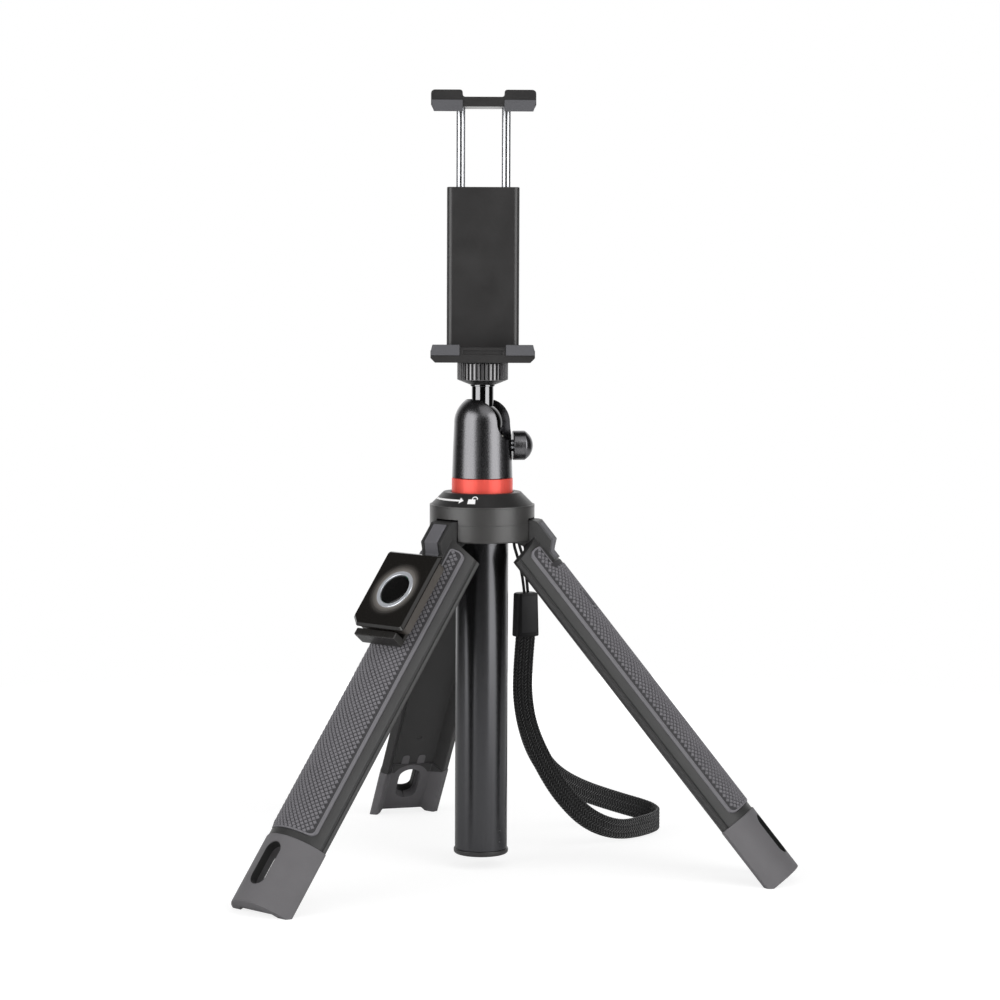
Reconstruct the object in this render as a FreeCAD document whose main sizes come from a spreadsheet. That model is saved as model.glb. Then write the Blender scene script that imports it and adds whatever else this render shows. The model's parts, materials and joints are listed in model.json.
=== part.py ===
import FreeCAD, Part
import math
import os
import Sketcher
from types import SimpleNamespace
from FreeCAD import Placement, Rotation, Vector

# A telescoping phone tripod: three folding legs round a telescoping column, a ball head,
# a sprung phone clamp, a remote docked on one leg and a wrist strap.
# Origin on the ground under the column's axis, +Z up, -Y towards the front. Millimetres.

driving = {
    # column and its nested tubes
    "tubeOuter": "17.5",
    "tubeWall": "0.6",
    "slideGap": "0.35",
    "runFit": "0.05",
    "fixFit": "0.02",
    "neckHeight": "8",
    "shimHeight": "9",
    "sectionDrop": "0.9",
    "sectionLift": "0.4",
    "sectionStep": "0.2",
    # end cap
    "capBottom": "4.6",
    "capHeight": "1.8",
    "capOuter": "18.3",
    "capEdge": "0.8",
    "capSpigot": "2.6",
    # hub and twist lock
    "hubOuter": "34.9",
    "hubHeight": "11.8",
    "hubEdge": "0.4",
    "notchWidth": "9.7",
    "notchHeight": "7.6",
    "notchWeb": "1.5",
    "sleeveOuter": "24.4",
    "sleeveGap": "0.3",
    "ringSeam": "0.15",
    "ringLip": "0.25",
    "ringHeight": "4.1",
    "ringTopOuter": "25.8",
    "ringMouth": "20.9",
    "ringMouthDepth": "0.9",
    "colletBottomOuter": "21.2",
    "colletTopOuter": "19.2",
    "colletDrop": "1.1",
    "colletSlot": "1",
    "colletBase": "1.2",
    # leg pivots
    "pivotOut": "13",
    "pivotRise": "3.6",
    "pinRadius": "1.2",
    "pinLength": "17",
    "knuckleRadius": "3.8",
    "splay": "39",
    # red ring and ball head
    "baseRingOuter": "20.3",
    "baseRingSink": "0.4",
    "baseRingHeight": "5",
    "baseRingEdge": "0.3",
    "socketDepth": "3.1",
    "studRadius": "2.5",
    "plugLength": "13",
    "studInset": "1",
    "studEndGap": "0.5",
    "studRoof": "1",
    "headBaseOuter": "20.1",
    "headShoulderOuter": "18.8",
    "headShoulderDrop": "0.2",
    "headTopRise": "7.8",
    "headMouth": "11",
    "lipRadius": "5.2",
    "lipRise": "4.9",
    "lipSlope": "1.7",
    "cavityDrop": "11",
    "ballRise": "18.1",
    "ballRadius": "6.8",
    "ballGap": "0.1",
    "dropTurn": "-23",
    "seatGap": "0.2",
    "seatDrop": "4",
    # lock knob
    "knobTurn": "7",
    "knobDrop": "7.4",
    "knobRadius": "4.9",
    "knobStart": "10.1",
    "knobStraight": "3.9",
    "knobDome": "2.9",
    "screwRadius": "2",
    "screwTip": "5.2",
    "screwCone": "1",
    "screwHold": "3",
    "screwClear": "0.3",
    # stem and knurled locking ring
    "neckRadius": "3.65",
    "flangeRise": "12.3",
    "flangeThick": "0.5",
    "flangeRadius": "4.1",
    "threadRadius": "3.175",
    "threadInset": "0.4",
    "knurlOuter": "16.9",
    "knurlDish": "1.6",
    "knurlHeight": "7.2",
    "knurlGap": "0.1",
    "knurlRim": "4.4",
    "knurlEdge": "0.25",
    "knurlDepth": "0.35",
    "knurlCount": "38",
    # phone clamp
    "jawHalf": "17.15",
    "jawFront": "10.6",
    "jawBack": "7",
    "jawGap": "0.3",
    "lowerJawHeight": "4",
    "lowerJawChamfer": "1.5",
    "jawLipHalf": "7.4",
    "jawLipWall": "1.3",
    "jawLipRise": "1",
    "padInner": "7.6",
    "padSkin": "0.4",
    "padFloor": "0.8",
    "padLip": "1.1",
    "padSkirt": "1.6",
    "padClear": "0.1",
    "grip": "78.2",
    "upperPadInner": "6.8",
    "upperJawRise": "5.1",
    "upperBarRise": "2.8",
    "upperBarDrop": "0.4",
    "upperRound": "2.7",
    "upperSkirt": "1.8",
    "spineHalf": "12",
    "spineFront": "1.2",
    "spineHeight": "53.6",
    "spineRound": "2",
    "rodRadius": "1.5",
    "rodSpread": "7.5",
    "rodBack": "3",
    "rodRise": "24.6",
    "rodHeadRadius": "2.35",
    "rodHead": "2",
    "rodHold": "2",
    "boreRadius": "2.5",
    "boreRise": "1.6",
    "boreCap": "3",
    "springInner": "1.7",
    "springWire": "0.6",
    # legs, in the folded place
    "legChord": "25.5",
    "legCrown": "17",
    "legInset": "0.5",
    "legInner": "20.8",
    "webHalf": "7.5",
    "webDepth": "11.3",
    "legTopDrop": "4",
    "shoulderDrop": "5.4",
    "cornerDrop": "8.8",
    "legLength": "119.3",
    "bootLength": "24.5",
    "bootProud": "0.4",
    "bootSide": "0.3",
    "tongueInner": "4.4",
    "tongueWidth": "3.4",
    "tongueFront": "13.6",
    "tongueDepth": "1.6",
    "tongueLength": "9",
    "heelCut": "2.0107",
    "slotTop": "2.7",
    "slotLength": "15.5",
    "slotWidth": "4.5",
    "slotBack": "9.3",
    "windowWidth": "8",
    "windowDepth": "14",
    "lugWidth": "9",
    "lugOut": "20",
    "lugTopDrop": "1.7",
    "lugBendDrop": "9.7",
    "lugFootDrop": "12.1",
    "lugToe": "3",
    "lugBite": "0.5",
    "lugEase": "0.8",
    "lugCrest": "1",
    "knuckleShare": "0.7",
    "insertWidth": "7",
    "insertProud": "0.3",
    "insertDepth": "0.5",
    "insertEdge": "0.4",
    "insertToe": "2.6",
    "insertFit": "0.3",
    "padMargin": "2.8",
    "padProud": "0.35",
    "padSunk": "0.8",
    "padTopDrop": "8.6",
    "padForkDrop": "16.4",
    "forkHalf": "5.4",
    "padGap": "2.5",
    "padRound": "2.1",
    "dockDrop": "32",
    "dockLength": "6.4",
    "dockWidth": "3.2",
    "dockDepth": "14.6",
    # remote on leg a
    "remoteDrop": "31",
    "faceWidth": "24",
    "faceLength": "29",
    "faceThick": "1.2",
    "faceOut": "24.1",
    "faceNotch": "3",
    "caseWidth": "21.6",
    "caseLength": "26.6",
    "caseBack": "18.7",
    "caseWall": "1.2",
    "caseRound": "1.5",
    "bezelOuter": "14",
    "bezelInner": "11.2",
    "bezelProud": "0.2",
    "buttonOuter": "10.6",
    "buttonThick": "0.7",
    "buttonProud": "0.1",
    "boardThick": "0.8",
    "boardGap": "0.1",
    "boardMargin": "0.6",
    "cellRadius": "6.25",
    "cellThick": "1.9",
    "cellDrop": "5",
    "cradleWidth": "18",
    "cradleBack": "17.45",
    "cradleLip": "1.4",
    "cradleLipOut": "21.2",
    "cradleTrim": "4",
    "cradleGap": "0.2",
    "pegSink": "0.5",
    # wrist strap
    "eyeletTurn": "44.5",
    "eyeletOut": "16.2",
    "eyeletWire": "0.5",
    "eyeletHalf": "1.5",
    "eyeletDrop": "2.6",
    "eyeletHold": "1.4",
    "cordRadius": "0.5",
    "tabWidth": "8.5",
    "tabThick": "5",
    "tabRound": "1.2",
    "tabTurn": "30",
    "strapWidth": "7.5",
    "strapThick": "1.6",
}

doc = FreeCAD.newDocument("phone_tripod")
sheet = doc.addObject("Spreadsheet::Sheet", "sizes")
for row, (alias, amount) in enumerate(driving.items(), 1):
    sheet.set(f"A{row}", alias)
    sheet.set(f"B{row}", amount)
    sheet.setAlias(f"B{row}", alias)
doc.recompute()


class Size:
    """A length or angle: its number, and the same sum as an expression on the sheet."""

    def __init__(self, amount, text):
        self.amount = amount
        self.text = text

    def __add__(self, other):
        return Size(self.amount + plain(other), f"({self.text} + {words(other)})")

    def __radd__(self, other):
        return Size(plain(other) + self.amount, f"({words(other)} + {self.text})")

    def __sub__(self, other):
        return Size(self.amount - plain(other), f"({self.text} - {words(other)})")

    def __rsub__(self, other):
        return Size(plain(other) - self.amount, f"({words(other)} - {self.text})")

    def __mul__(self, other):
        return Size(self.amount * plain(other), f"({self.text} * {words(other)})")

    __rmul__ = __mul__

    def __truediv__(self, other):
        return Size(self.amount / plain(other), f"({self.text} / {words(other)})")

    def __neg__(self):
        return Size(-self.amount, f"(0 - {self.text})")

    def root(self):
        return Size(math.sqrt(self.amount), f"sqrt({self.text})")

    def cosine(self):
        return Size(math.cos(math.radians(self.amount)), f"cos({self.text} * 1 deg)")

    def sine(self):
        return Size(math.sin(math.radians(self.amount)), f"sin({self.text} * 1 deg)")


def plain(value):
    return value.amount if isinstance(value, Size) else float(value)


def words(value):
    return value.text if isinstance(value, Size) else f"{float(value):.7f}"


s = SimpleNamespace(**{alias: Size(float(sheet.get(alias)), f"sizes.{alias}") for alias in driving})

over = 1  # how far a cutting tool reaches past what it cuts
hair = 0.001  # keeps a half circle's radius just over half its chord

nodes = {}


def node(label, item):
    """Names one finished sub-part."""
    item.Label = label
    nodes[label] = item
    return item


def bind(item, prop, value):
    item.setExpression(prop, words(value))


def new(kind, name):
    return doc.addObject(kind, name)


def arc_middle(start, end, radius):
    """The point halfway along an arc that bulges to the right of its run for a positive radius."""
    chord = end - start
    half = chord.Length / 2
    rise = abs(radius) - math.sqrt(max(radius * radius - half * half, 0))
    side = Vector(chord.y, -chord.x, 0).normalize()
    return start + chord * 0.5 + side * (rise if radius > 0 else -rise)


def draw(sketch, corners):
    """A closed outline: each corner is (across, up), or (across, up, radius) where an arc follows."""
    places = [Vector(plain(c[0]), plain(c[1]), 0) for c in corners]
    count = len(corners)
    starts = []
    for i, corner in enumerate(corners):
        begin, finish = places[i], places[(i + 1) % count]
        if len(corner) > 2:
            middle = arc_middle(begin, finish, plain(corner[2]))
            piece = sketch.addGeometry(Part.Arc(begin, middle, finish), False)
        else:
            piece = sketch.addGeometry(Part.LineSegment(begin, finish), False)
        forward = (sketch.getPoint(piece, 1) - begin).Length < (sketch.getPoint(piece, 2) - begin).Length
        starts.append((1, 2) if forward else (2, 1))
    for i, corner in enumerate(corners):
        following = (i + 1) % count
        sketch.addConstraint(Sketcher.Constraint(
            "Coincident", i, starts[i][1], following, starts[following][0]))
        for axis, value in (("DistanceX", corner[0]), ("DistanceY", corner[1])):
            index = sketch.addConstraint(Sketcher.Constraint(
                axis, -1, 1, i, starts[i][0], plain(value)))
            sketch.setExpression(f"Constraints[{index}]", words(value))
        if len(corner) > 2:
            index = sketch.addConstraint(Sketcher.Constraint("Radius", i, abs(plain(corner[2]))))
            sketch.setExpression(f"Constraints[{index}]", f"abs({words(corner[2])})")


def sketch_on(body, plane, corners, start=0):
    """A sketch on one of the body's own planes, moved along its normal to start."""
    sketch = body.newObject("Sketcher::SketchObject", body.Name + "_outline")
    support = next(p for p in body.Origin.OriginFeatures if p.Role == plane)
    sketch.AttachmentSupport = (support, [""])
    sketch.MapMode = "FlatFace"
    sketch.AttachmentOffset = Placement(Vector(0, 0, plain(start)), Rotation())
    sketch.setExpression("AttachmentOffset.Base.z", words(start))
    draw(sketch, corners)
    return sketch


def turned(name, corners):
    """A body turned about Z from an outline of (radius, height)."""
    body = new("PartDesign::Body", name)
    sketch = sketch_on(body, "XZ_Plane", corners)
    turn = body.newObject("PartDesign::Revolution", name + "_turn")
    turn.Profile = sketch
    turn.ReferenceAxis = (sketch, ["V_Axis"])
    turn.Angle = 360
    return body


def prism(name, plane, corners, start, length):
    """A body padded from an outline. XY pads up, YZ pads to +X and XZ pads to the front, -Y."""
    body = new("PartDesign::Body", name)
    sketch = sketch_on(body, plane, corners, start)
    pad = body.newObject("PartDesign::Pad", name + "_pad")
    pad.Profile = sketch
    bind(pad, "Length", length)
    return body


def box(name, low, high):
    item = new("Part::Box", name)
    for prop, a, b in zip(("Length", "Width", "Height"), low, high):
        bind(item, prop, b - a)
    for axis, value in zip("xyz", low):
        bind(item, f"Placement.Base.{axis}", value)
    return item


def rod(name, radius, foot, top, x=0, y=0):
    item = new("Part::Cylinder", name)
    bind(item, "Radius", radius)
    bind(item, "Height", top - foot)
    bind(item, "Placement.Base.x", x)
    bind(item, "Placement.Base.y", y)
    bind(item, "Placement.Base.z", foot)
    return item


def cut(name, base, *tools):
    item = new("Part::Cut", name)
    item.Base = base
    item.Tool = tools[0] if len(tools) == 1 else fuse(name + "_tools", *tools)
    return item


def fuse(name, *parts):
    item = new("Part::MultiFuse", name)
    item.Shapes = list(parts)
    return item


def common(name, *parts):
    item = new("Part::MultiCommon", name)
    item.Shapes = list(parts)
    return item


def group(name, *parts):
    """Separate solids kept in one sub-part."""
    item = new("Part::Compound", name)
    item.Links = list(parts)
    return item


def feature(name, shape, place=None):
    item = new("Part::Feature", name)
    item.Shape = shape
    if place is not None:
        item.Placement = place
    return item


def mirrored(name, source):
    """The same piece on the other side of the YZ plane."""
    item = new("Part::Mirroring", name)
    item.Source = source
    item.Normal = Vector(1, 0, 0)
    return item


def spun(angle):
    return Placement(Vector(), Rotation(Vector(0, 0, 1), angle))


def placed(name, source, place):
    """The same piece, moved as one."""
    item = group(name, source)
    item.Placement = place
    return item


# Column: an outer tube and five sections, each inside the one before

sectionCount = 5


def tube_radius(k):
    return s.tubeOuter / 2 - k * (s.tubeWall + s.slideGap)


def section_bottom(k):
    return sectionFloor + k * s.sectionStep


def tube(name, k, bottom, top):
    """A tube whose top is drawn in to guide the next section, apart from the last."""
    outer = tube_radius(k)
    inner = outer - s.tubeWall
    corners = [(inner, bottom), (outer, bottom), (outer, top)]
    if k < sectionCount:
        neck = tube_radius(k + 1) + s.runFit
        corners += [(neck, top), (neck, top - s.neckHeight), (inner, top - s.neckHeight)]
    else:
        corners += [(inner, top)]
    return turned(name, corners)


# Pivots' height: the splayed legs hold them up, each boot's inner corner cut away to stand flat

cos30 = math.cos(math.radians(30))
heelIn = s.pivotOut - (s.legInner / 4 + s.legInset - s.bootSide) / cos30
pivotUp = (s.legLength + s.bootLength) * s.splay.cosine() + heelIn * s.splay.sine() - s.heelCut

# Heights up to the head's socket, each stepped from the piece that carries it

hubBottom = pivotUp - s.pivotRise
capTop = s.capBottom + s.capHeight
sectionFloor = capTop + s.capSpigot + s.sectionLift
hubTop = hubBottom + s.hubHeight
notchTop = hubBottom + s.notchHeight
colletFloor = notchTop + s.notchWeb
ringTop = hubTop + s.ringHeight
colletTop = ringTop - s.colletDrop
sectionTop = ringTop - s.sectionDrop
baseRingBottom = ringTop - s.baseRingSink
baseRingTop = baseRingBottom + s.baseRingHeight
socketTop = baseRingBottom + s.socketDepth

node("outer_tube", tube("outerTube", 0, capTop, colletFloor))
for k in range(1, sectionCount + 1):
    top = socketTop if k == sectionCount else sectionTop
    node(f"tube_section_{k}", tube(f"tubeSection{k}", k, section_bottom(k), top))
    shimInner = tube_radius(k) + s.fixFit
    shimOuter = tube_radius(k - 1) - s.tubeWall - s.runFit
    node(f"slide_shim_{k}", turned(f"slideShim{k}", [
        (shimInner, section_bottom(k)),
        (shimOuter, section_bottom(k)),
        (shimOuter, section_bottom(k) + s.shimHeight),
        (shimInner, section_bottom(k) + s.shimHeight)]))

spigotRadius = tube_radius(0) - s.tubeWall - s.fixFit
node("end_cap", turned("endCap", [
    (0, s.capBottom),
    (s.capOuter / 2 - s.capEdge, s.capBottom),
    (s.capOuter / 2, s.capBottom + s.capEdge),
    (s.capOuter / 2, capTop),
    (spigotRadius, capTop),
    (spigotRadius, capTop + s.capSpigot),
    (0, capTop + s.capSpigot)]))

# Hub with three notches for the legs, each with its hinge pin

legTurns = {"a": -133.24, "b": -13.24, "c": 106.76}

hubBore = tube_radius(0) + s.fixFit
hubRing = turned("hubRing", [
    (hubBore, hubBottom),
    (s.hubOuter / 2 - s.hubEdge, hubBottom),
    (s.hubOuter / 2, hubBottom + s.hubEdge),
    (s.hubOuter / 2, hubTop),
    (s.sleeveOuter / 2 + s.sleeveGap, hubTop),
    (s.sleeveOuter / 2 + s.sleeveGap, colletFloor),
    (hubBore, colletFloor)])


def pin_at(name, radius, length):
    """A bar across the leg's plane through the pivot, for a leg on +X."""
    foot = Vector(plain(s.pivotOut), -plain(length) / 2, plain(pivotUp))
    return feature(name, Part.makeCylinder(plain(radius), plain(length), foot, Vector(0, 1, 0)))


notch = box("notch",
            (tube_radius(0) - s.tubeWall, -s.notchWidth / 2, hubBottom - over),
            (s.hubOuter / 2 + over, s.notchWidth / 2, notchTop))
pinHole = pin_at("pinHole", s.pinRadius + s.fixFit, s.pinLength)
pin = pin_at("pin", s.pinRadius, s.pinLength)
notchTool = fuse("notchTool", notch, pinHole)

hubCuts = []
pins = []
for leg, turn in legTurns.items():
    hubCuts.append(placed(f"notch_{leg}", notchTool, spun(turn)))
    pins.append(placed(f"pin_{leg}", pin, spun(turn)))

# Wrist strap's eyelet: a small staple let into the hub's underside

eyeletTop = hubBottom + s.eyeletHold
staple = []
for side in (-1, 1):
    staple.append(rod(f"stapleLeg{side + 1}", s.eyeletWire, hubBottom - s.eyeletDrop + s.eyeletWire,
                      eyeletTop, s.eyeletOut, side * s.eyeletHalf))
bar = new("Part::Box", "stapleBar")
for prop, value in (("Length", 2 * s.eyeletWire), ("Width", 2 * s.eyeletHalf + 2 * s.eyeletWire),
                    ("Height", 2 * s.eyeletWire), ("Placement.Base.x", s.eyeletOut - s.eyeletWire),
                    ("Placement.Base.y", -s.eyeletHalf - s.eyeletWire),
                    ("Placement.Base.z", hubBottom - s.eyeletDrop)):
    bind(bar, prop, value)
eyeletHoles = [rod(f"stapleHole{side + 1}", s.eyeletWire + s.fixFit, hubBottom - over, eyeletTop,
                   s.eyeletOut, side * s.eyeletHalf) for side in (-1, 1)]
eyeletPlace = spun(plain(s.eyeletTurn))
node("strap_eyelet", placed("strapEyelet", fuse("staple", bar, *staple), eyeletPlace))
hubCuts.append(placed("eyeletHoles", fuse("eyeletHolePair", *eyeletHoles), eyeletPlace))

node("hub", cut("hub", hubRing, *hubCuts))
node("hinge_pins", group("hingePins", *pins))

# Twist lock: a slotted collet round the first section, and the ring that closes it

colletCone = turned("colletCone", [
    (tube_radius(1) + s.runFit, colletFloor),
    (s.colletBottomOuter / 2, colletFloor),
    (s.colletTopOuter / 2, colletTop),
    (tube_radius(1) + s.runFit, colletTop)])
slots = []
for turn in (0, 90):
    slot = box(f"colletSlot{turn}",
               (-s.colletBottomOuter, -s.colletSlot / 2, colletFloor + s.colletBase),
               (s.colletBottomOuter, s.colletSlot / 2, colletTop + over))
    slots.append(placed(f"colletSlotTurned{turn}", slot, spun(turn)))
node("lock_collet", cut("lockCollet", colletCone, *slots))

sleeveBottom = colletFloor + s.ringLip
ringBottom = hubTop + s.ringSeam
mouthFloor = ringTop - s.ringMouthDepth
node("lock_ring", turned("lockRing", [
    (s.colletBottomOuter / 2 + s.ringLip, sleeveBottom),
    (s.sleeveOuter / 2, sleeveBottom),
    (s.sleeveOuter / 2, ringBottom),
    (s.hubOuter / 2, ringBottom),
    (s.hubOuter / 2, ringBottom + s.ringLip),
    (s.ringTopOuter / 2, ringTop),
    (s.ringMouth / 2, ringTop),
    (s.ringMouth / 2, mouthFloor),
    (s.colletTopOuter / 2 + s.ringLip, mouthFloor)]))

# Head: the red ring on the last section, its stud and plug, and the ball housing

plugBottom = socketTop - s.plugLength
studBottom = plugBottom + s.studInset
ballUp = baseRingTop + s.ballRise
cavityFloor = ballUp - s.cavityDrop
studHoleTop = cavityFloor - s.studRoof
studTop = studHoleTop - s.studEndGap
plugRadius = tube_radius(sectionCount) - s.tubeWall - s.fixFit
studBore = s.studRadius + s.fixFit
node("stud_plug", turned("studPlug", [
    (studBore, plugBottom), (plugRadius, plugBottom), (plugRadius, socketTop), (studBore, socketTop)]))
node("head_stud", turned("headStud", [
    (0, studBottom), (s.studRadius, studBottom), (s.studRadius, studTop), (0, studTop)]))

socketRadius = tube_radius(sectionCount) + s.fixFit
node("base_ring", turned("baseRing", [
    (socketRadius, baseRingBottom),
    (s.baseRingOuter / 2 - s.baseRingEdge, baseRingBottom),
    (s.baseRingOuter / 2, baseRingBottom + s.baseRingEdge),
    (s.baseRingOuter / 2, baseRingTop - s.baseRingEdge),
    (s.baseRingOuter / 2 - s.baseRingEdge, baseRingTop),
    (studBore, baseRingTop),
    (studBore, socketTop),
    (socketRadius, socketTop)]))

headShoulder = ballUp - s.headShoulderDrop
headTop = ballUp + s.headTopRise
domeSteps = [(0.946, 0.282), (0.754, 0.551), (0.433, 0.795)]  # shares of the dome's width and rise


def dome_step(wide, high):
    shoulder = s.headShoulderOuter / 2
    mouth = s.headMouth / 2
    return mouth + (shoulder - mouth) * wide, headShoulder + (headTop - headShoulder) * high


cavityRadius = s.ballRadius + s.ballGap
lipUp = ballUp + s.lipRise
coneFoot = lipUp - (cavityRadius - s.lipRadius) * s.lipSlope
housing = turned("housing", [
    (studBore, baseRingTop),
    (s.headBaseOuter / 2, baseRingTop),
    (s.headShoulderOuter / 2, headShoulder),
    *[dome_step(*step) for step in domeSteps],
    (s.headMouth / 2, headTop),
    (s.lipRadius, lipUp),
    (cavityRadius, coneFoot),
    (cavityRadius, cavityFloor),
    (0, cavityFloor),
    (0, studHoleTop),
    (studBore, studHoleTop)])
dropSlot = prism("dropSlot", "YZ_Plane", [
    (-s.headMouth / 2, ballUp, s.headMouth / 2 + hair),
    (s.headMouth / 2, ballUp),
    (s.headMouth / 2, headTop + over),
    (-s.headMouth / 2, headTop + over)], 0, s.headBaseOuter / 2 + over)

knobUp = ballUp - s.knobDrop
knobAim = Placement(Vector(0, 0, plain(knobUp)),
                    spun(s.knobTurn.amount).Rotation.multiply(Rotation(Vector(0, 1, 0), 90)))
screwHole = rod("screwHole", s.screwRadius + s.runFit, s.screwTip - over, s.knobStart)
seatHole = rod("seatHole", s.screwRadius + s.runFit, s.screwTip - s.screwClear, s.knobStart)
node("head_housing", cut("headHousing", housing,
                         placed("dropSlotTurned", dropSlot, spun(s.dropTurn.amount)),
                         placed("screwHoleTurned", screwHole, knobAim)))

seatBottom = cavityFloor + s.seatGap
seatTop = ballUp - s.seatDrop
seatRadius = cavityRadius - s.runFit
cupFoot = ballUp - cavityRadius * math.sqrt(2)
seat = turned("seat", [
    (0, seatBottom),
    (seatRadius, seatBottom),
    (seatRadius, seatTop),
    (seatTop - cupFoot, seatTop),
    (0, cupFoot)])
node("ball_seat", cut("ballSeat", seat, placed("seatHoleTurned", seatHole, knobAim)))

# Lock knob on its screw, built along Z and aimed out of the housing

knobFace = s.knobStart + s.knobStraight
knobSteps = [(0.745, 0.531), (0.398, 0.879)]  # shares of the knob's radius and of its dome's rise
screwEnd = s.knobStart + s.screwHold
node("lock_knob", placed("lockKnob", turned("knob", [
    (s.screwRadius + s.fixFit, s.knobStart),
    (s.knobRadius, s.knobStart),
    (s.knobRadius, knobFace),
    *[(s.knobRadius * wide, knobFace + s.knobDome * high) for wide, high in knobSteps],
    (0, knobFace + s.knobDome),
    (0, screwEnd),
    (s.screwRadius + s.fixFit, screwEnd)]), knobAim))
node("knob_screw", placed("knobScrew", turned("screw", [
    (0, s.screwTip),
    (s.screwRadius - s.screwCone, s.screwTip),
    (s.screwRadius, s.screwTip + s.screwCone),
    (s.screwRadius, screwEnd),
    (0, screwEnd)]), knobAim))

# Ball and stem in one piece, with the thread for the clamp

flangeBottom = ballUp + s.flangeRise
flangeTop = flangeBottom + s.flangeThick
knurlBottom = flangeTop + s.knurlGap
knurlCone = knurlBottom + s.knurlDish
knurlTop = knurlBottom + s.knurlHeight
lowerJawBottom = knurlTop + s.jawGap
jawTop = lowerJawBottom + s.lowerJawHeight
threadTop = jawTop - s.threadInset
neckUp = ballUp + (s.ballRadius * s.ballRadius - s.neckRadius * s.neckRadius).root()
node("ball_stem", turned("ballStem", [
    (0, ballUp - s.ballRadius, s.ballRadius),
    (s.neckRadius, neckUp),
    (s.neckRadius, flangeBottom),
    (s.flangeRadius, flangeBottom),
    (s.flangeRadius, flangeTop),
    (s.threadRadius, flangeTop),
    (s.threadRadius, threadTop),
    (0, threadTop)]))

# Knurled locking ring: a dished ring with grooves all round

knurlFlare = 1.6  # a groove's mouth against its share of the rim
knurlBody = turned("knurledRing", [
    (s.threadRadius + s.runFit, knurlBottom),
    (s.knurlRim, knurlBottom),
    (s.knurlOuter / 2, knurlCone),
    (s.knurlOuter / 2, knurlTop - s.knurlEdge),
    (s.knurlOuter / 2 - s.knurlEdge, knurlTop),
    (s.threadRadius + s.runFit, knurlTop)])
knurlHalf = s.knurlOuter * (math.pi / 4) / s.knurlCount
grooveSketch = sketch_on(knurlBody, "XY_Plane", [
    (s.knurlOuter / 2 - s.knurlDepth, 0),
    (s.knurlOuter / 2 + s.knurlDepth, -knurlHalf * knurlFlare),
    (s.knurlOuter / 2 + s.knurlDepth, knurlHalf * knurlFlare)], knurlTop)
groove = knurlBody.newObject("PartDesign::Pocket", "knurlGroove")
groove.Profile = grooveSketch
bind(groove, "Length", knurlTop - knurlCone)
knurls = knurlBody.newObject("PartDesign::PolarPattern", "knurls")
knurls.Originals = [groove]
knurls.Axis = (grooveSketch, ["N_Axis"])
knurls.Angle = 360
bind(knurls, "Occurrences", s.knurlCount)
knurlBody.Tip = knurls
node("knurled_ring", knurlBody)

# Phone clamp: lower jaw with its spine, and the upper jaw on two sprung rods

floorTop = jawTop + s.padFloor
ceiling = floorTop + s.grip
jawUnder = ceiling + s.padFloor
jawDepth = s.jawFront + s.jawBack
chamfer = s.lowerJawChamfer
jawPlate = prism("jawPlate", "XZ_Plane", [
    (-s.jawHalf, jawTop),
    (-s.jawHalf, lowerJawBottom + chamfer),
    (-s.jawHalf + chamfer, lowerJawBottom),
    (s.jawHalf - chamfer, lowerJawBottom),
    (s.jawHalf, lowerJawBottom + chamfer),
    (s.jawHalf, jawTop)], -s.jawBack, jawDepth)
jawLip = box("jawLip",
             (-s.jawLipHalf, -s.jawFront, jawTop - over),
             (s.jawLipHalf, s.jawLipWall - s.jawFront, jawTop + s.jawLipRise))
threadHole = rod("threadHole", s.threadRadius + s.runFit, lowerJawBottom - over, jawTop + over)
node("clamp_base", cut("clampBase", fuse("jawBlank", jawPlate, jawLip), threadHole))

padBack = -s.spineFront - s.padClear
padFront = -s.jawFront - s.padSkin
lipBack = s.jawLipWall - s.jawFront


def pad_pair(name, corners, inner, outer):
    """A rubber pad of one side profile at each end of a jaw."""
    right = prism(name + "Right", "YZ_Plane", corners, inner, outer - inner)
    return group(name, right, mirrored(name + "Left", right))


node("lower_pads", pad_pair("lowerPads", [
    (padFront, jawTop - s.padSkirt),
    (-s.jawFront, jawTop - s.padSkirt),
    (-s.jawFront, jawTop),
    (padBack, jawTop),
    (padBack, floorTop),
    (lipBack, floorTop),
    (lipBack, floorTop + s.padLip),
    (padFront, floorTop + s.padLip)], s.padInner, s.jawHalf))

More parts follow.
